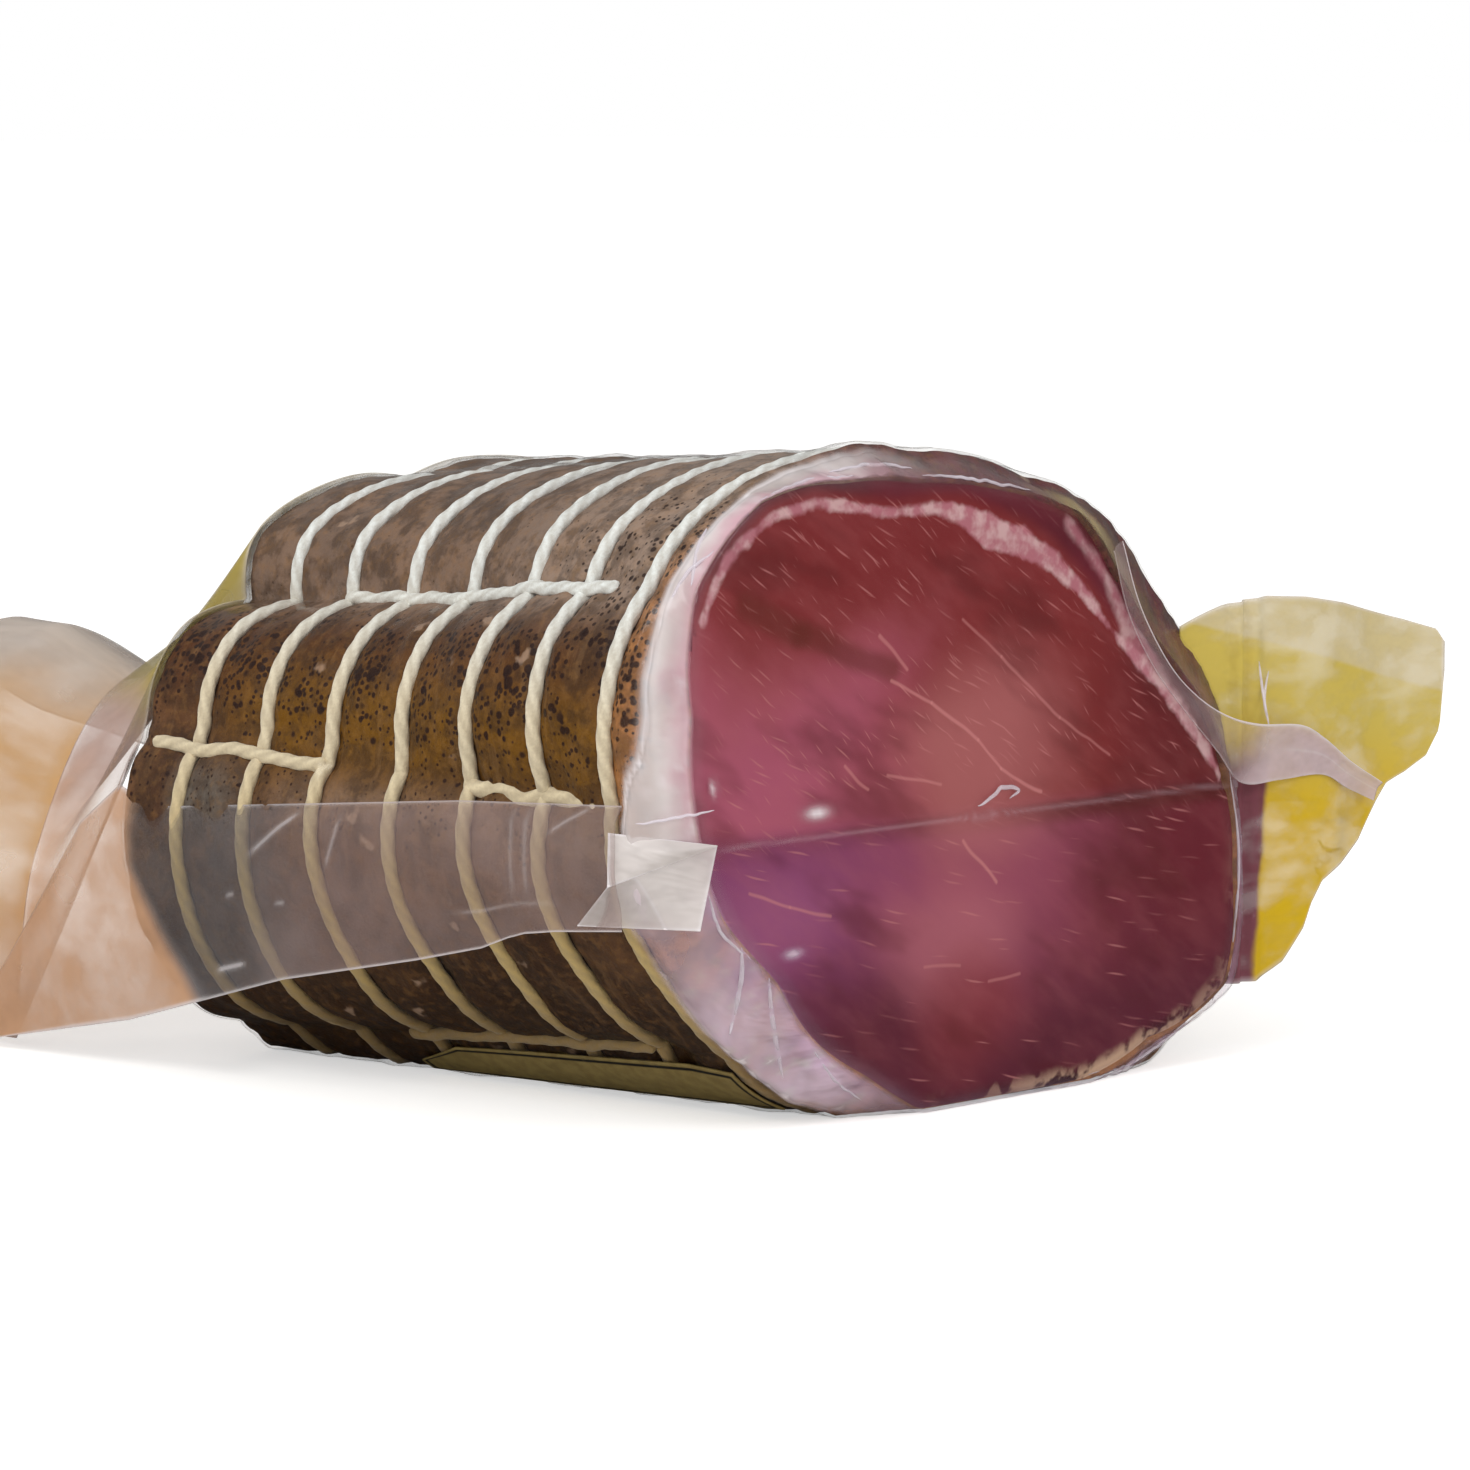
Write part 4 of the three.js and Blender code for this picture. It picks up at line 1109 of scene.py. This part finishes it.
def flat_fold(top_left, top_right, low_left, low_right, belly):
    """A sheet between four corners, with its middle pushed out to -Y by belly."""
    corners = [np.array(corner, float) for corner in (top_left, top_right, low_left, low_right)]

    def surface(u, v):
        u, v = u[:, None], v[:, None]
        top = corners[0] + (corners[1] - corners[0]) * u
        low = corners[2] + (corners[3] - corners[2]) * u
        bulge = belly * np.sin(np.pi * u) * np.sin(np.pi * v)
        return top + (low - top) * v - bulge * np.array([0.6, 0.8, 0])

    return surface


ear_film = clear_film("film_ear", paint(226, 218, 214), 0.1, 0.14, 0.14, 45)
film_sheet(
    "dog_ear_flap", flat_fold(EAR_FOLD, EAR_ROOT, *EAR_FLAP_LOW, 0.5), 90, 60, ear_film,
    line=lambda u, v: 0.8 * bell(1 - v, 0.03) + 0.5 * bell(u, 0.02) + 0.7 * bell(1 - u, 0.02)
    + 0.45 * bell(u - 0.25 - 0.47 * v, 0.015),
    haze=lambda u, v: 0.34 + 0.22 * ramp(u - 0.47 * v, 0.2, 0.3),
    crease=lambda u, v: 0.3 + 0 * u,
)
film_sheet(
    "dog_ear_top", flat_fold(EAR_CORNER, EAR_ROOT, EAR_FOLD, EAR_ROOT, 0.9), 80, 40, ear_film,
    line=edge_lines("u0", "v0", "v1", width=0.03),
    haze=lambda u, v: 0.68 + 0.12 * u,
    crease=lambda u, v: 0.5 + 0 * u,
)


# Creases: where the tight film has nowhere to go it stands up in thin ridges that catch the light,
# along the seam on the cut, round its rim and at the corners.
CREASE_HALF_WIDTH = 0.7
CREASE_HALF_HEIGHT = 0.25
INSIDE_LOIN = (0, -20, 49)


def on_cut(*stops):
    """A path on the film over the cut, through X and Z of each stop."""
    return [(x, CUT_Y - 1.0, z) for x, z in stops]


def on_side(*stops):
    """A path on the film beside the cut, through the angle and Y of each stop."""
    angle, y = np.array(stops, float).T
    return round_loin(angle, y, film_radius(angle, y) + 0.15, 1.2)


CORNER_HUB = (73.3, -67.0, 54.6)
# The stops of each crease, and its share of the full half width.
FILM_CREASES = (
    (on_cut((-0.5, 47.6), (3.5, 49.0), (5.4, 50.2), (9.3, 49.3), (7.1, 48.0)), 0.55),
    (on_side((134, -66.6), (126, -66.0), (118, -66.4)), 0.5),
    (on_side((121, -65.0), (112, -64.6), (104, -65.2)), 0.5),
    (on_side((103, -66.2), (90, -66.6), (74, -66.3)), 0.4),
    (on_side((148, -66.0), (143, -63.5), (140, -62.4)), 0.5),
    (on_side((152, -63.4), (147, -64.2), (143, -66.4)), 0.45),
    (on_side((199, -66.8), (205, -65.0), (213, -61.8)), 0.6),
    (on_side((207, -66.8), (215, -65.2), (226, -62.6)), 0.6),
    (on_side((225, -66.4), (234, -65.2), (243, -64.4)), 0.4),
    (on_side((188, -66.6), (195, -66.2), (202, -66.7)), 0.4),
    (on_side((359, -66.3), (346, -66.6), (332, -66.2)), 0.45),
    (on_side((357, -61.2), (345, -61.0), (334, -61.4)), 0.4),
    (on_side((336, -62.5), (331, -64.0), (327, -66.0)), 0.8),
    (on_side((330, -61.8), (333, -64.2), (331, -66.2)), 0.6),
    (on_side((331, -64.4), (318, -64.8), (306, -64.2), (292, -65.0)), 0.8),
    (on_side((322, -66.0), (310, -65.6), (300, -66.2)), 0.5),
    ([CORNER_HUB, (75.0, -64.6, 58.6), (77.2, -63.6, 63.4)], 0.4),
    ([CORNER_HUB, (73.6, -65.4, 60.0), (73.4, -64.6, 65.5)], 0.3),
    ([(-71.4, -62.6, 50.3), (-66.0, -66.8, 51.4), (-61.0, -69.0, 52.2)], 0.35),
    ([(92.2, -62.6, 33.6), (94.6, -62.5, 31.6), (98.6, -62.4, 31.2)], 0.6),
    ([(91.4, -62.5, 29.0), (93.0, -62.5, 27.2), (92.6, -62.5, 25.4)], 0.4),
)
# The creases' milky white is partly folded film and partly painted highlight.
crease_film = clear_film("film_creases", paint(240, 232, 240), 0.5, 0.12, 0.2, 120)
crease_parts = []
for number, (stops, width_share) in enumerate(FILM_CREASES):
    stops = np.array(stops, float)
    length = np.linalg.norm(np.diff(stops, axis=0), axis=1).sum()
    path = smooth_curve(stops, np.linspace(0, 1, max(12, int(length / 0.4))))
    path = path + 0.15 * ripple(path, 2.5, 80 + number)[:, None]
    up = path - INSIDE_LOIN
    up[:, 1] = np.minimum(up[:, 1], -30)
    up /= np.linalg.norm(up, axis=1)[:, None]
    size = (CREASE_HALF_WIDTH * width_share, CREASE_HALF_HEIGHT)
    crease_parts.append(twisted_cord(path, up, size, False, sides=8, ply=0.0, ends=length / size[0] / 2))
points, quads, _ = join_parts(crease_parts)
make_piece("film_creases", points, quads, crease_film, "bag_film", haze=0.0, line=0.0, crease=0.0)

# Label: a patch of cream paper stuck flat to the film under the near side, with a dark border line
# just inside its edge. Its paper is painted a dark buff, which is painted shade from lying under the loin.
LABEL_START_Y = -56
LABEL_LENGTH = 72
LABEL_HEIGHT = 13
LABEL_COLUMNS = 160
LABEL_ROWS = 40
LABEL_WALL = 0.3
LABEL_OFF_LOIN = 0.9

label = Shader("label_paper")
inside = label.field("inset")
# Painted shade: the cream paper is darkened to a dull buff, as it lies in shade under the loin.
paper = label.mix(label.smooth(label.noise(500, 3), 0.3, 0.7), paint(132, 112, 60), paint(150, 130, 74))
border = label.math("MULTIPLY", label.smooth(inside, 1.6, 1.2), label.smooth(inside, 0.5, 0.9))
paper = label.mix(border, paper, paint(20, 16, 10))
label_material = label.finish(label.add("BsdfPrincipled", {
    "Base Color": paper,
    "Roughness": 0.6,
    "Normal": label.bump(label.noise(900, 3), 0.2, 0.0002),
}))


def label_patch(u, v):
    """Follows the lobes 0.9 mm off their surface, between its upper and lower edges."""
    y = LABEL_START_Y + LABEL_LENGTH * u
    lower = 236 - 6.5 * u
    upper = 222.5 + 4 * np.maximum(0, u - 0.85) / 0.15
    angle = upper + (lower - upper) * v
    return round_loin(angle, y, lobe_radius(angle, y) + LABEL_OFF_LOIN, LABEL_OFF_LOIN)


u, v = share_grid(LABEL_COLUMNS, LABEL_ROWS)
inset = np.minimum(np.minimum(u, 1 - u) * LABEL_LENGTH, np.minimum(v, 1 - v) * LABEL_HEIGHT)
label_quads = grid_quads(LABEL_COLUMNS, LABEL_ROWS, False)
label_piece = make_piece(
    "label_sheet", label_patch(u, v), label_quads, label_material, "label_paper", inset=inset,
)
give_wall(label_piece, LABEL_WALL)
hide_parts("label")

# Stage: a plain pale floor that fades into a white room, and soft studio light from three lamps. The
# floor and the room are dimmer in reflections than they are to the camera.
FLOOR_HALF = 15
floor_corners = [(x * FLOOR_HALF, y * FLOOR_HALF, 0) for x, y in ((-1, -1), (1, -1), (1, 1), (-1, 1))]
floor_mesh = bpy.data.meshes.new("floor")
floor_mesh.from_pydata(floor_corners, [], [(0, 1, 2, 3)])
floor = bpy.data.objects.new("floor", floor_mesh)
bpy.context.scene.collection.objects.link(floor)
floor_shader = Shader("pale_floor")
seen_directly = floor_shader.add("LightPath", {}, output="Is Camera Ray")
reflected = floor_shader.add("LightPath", {}, output="Is Glossy Ray")
floor_mesh.materials.append(floor_shader.finish(floor_shader.add("BsdfPrincipled", {
    "Base Color": floor_shader.mix(reflected, paint(236, 234, 230), paint(120, 118, 116)),
    "Roughness": 0.9,
    "Emission Color": (1, 1, 1, 1),
    "Emission Strength": floor_shader.math("MULTIPLY", seen_directly, 0.55),
})))

# Strength of the white room: on surfaces, to the camera, and in reflections.
ROOM_LIGHT = 0.66
ROOM_SEEN = 1.0
ROOM_MIRRORED = 0.25
world = bpy.data.worlds.new("studio")
bpy.context.scene.world = world
world.use_nodes = True
sky = world.node_tree.nodes["Background"]
sky.inputs["Color"].default_value = (1, 1, 1, 1)
path = world.node_tree.nodes.new("ShaderNodeLightPath")
seen = world.node_tree.nodes.new("ShaderNodeMapRange")
seen.inputs["To Min"].default_value = ROOM_LIGHT
seen.inputs["To Max"].default_value = ROOM_SEEN
mirrored = world.node_tree.nodes.new("ShaderNodeMapRange")
mirrored.inputs["To Max"].default_value = ROOM_MIRRORED
world.node_tree.links.new(path.outputs["Is Camera Ray"], seen.inputs["Value"])
world.node_tree.links.new(seen.outputs["Result"], mirrored.inputs["To Min"])
world.node_tree.links.new(path.outputs["Is Glossy Ray"], mirrored.inputs["Value"])
world.node_tree.links.new(mirrored.outputs["Result"], sky.inputs["Strength"])


def soft_light(name, place, target, size, power, colour=(1, 1, 1)):
    """An area light at a place, turned to face a target."""
    data = bpy.data.lights.new(name, "AREA")
    data.size = size
    data.energy = power
    data.color = colour
    lamp = bpy.data.objects.new(name, data)
    lamp.location = place
    way = np.array(place) - np.array(target)
    tilt = math.acos(way[2] / np.linalg.norm(way))
    lamp.rotation_euler = (tilt, 0, math.atan2(way[1], way[0]) + math.pi / 2)
    bpy.context.scene.collection.objects.link(lamp)


soft_light("key", (-0.9, -0.1, 0.9), (0, 0, 0.05), 0.5, 5)
soft_light("fill", (0.3, -1.2, 0.6), (0, 0, 0.05), 0.35, 2.2, (0.95, 0.93, 1.0))
soft_light("window", (-0.75, -1.0, 0.5), (0, -0.05, 0.05), 0.15, 1.5)
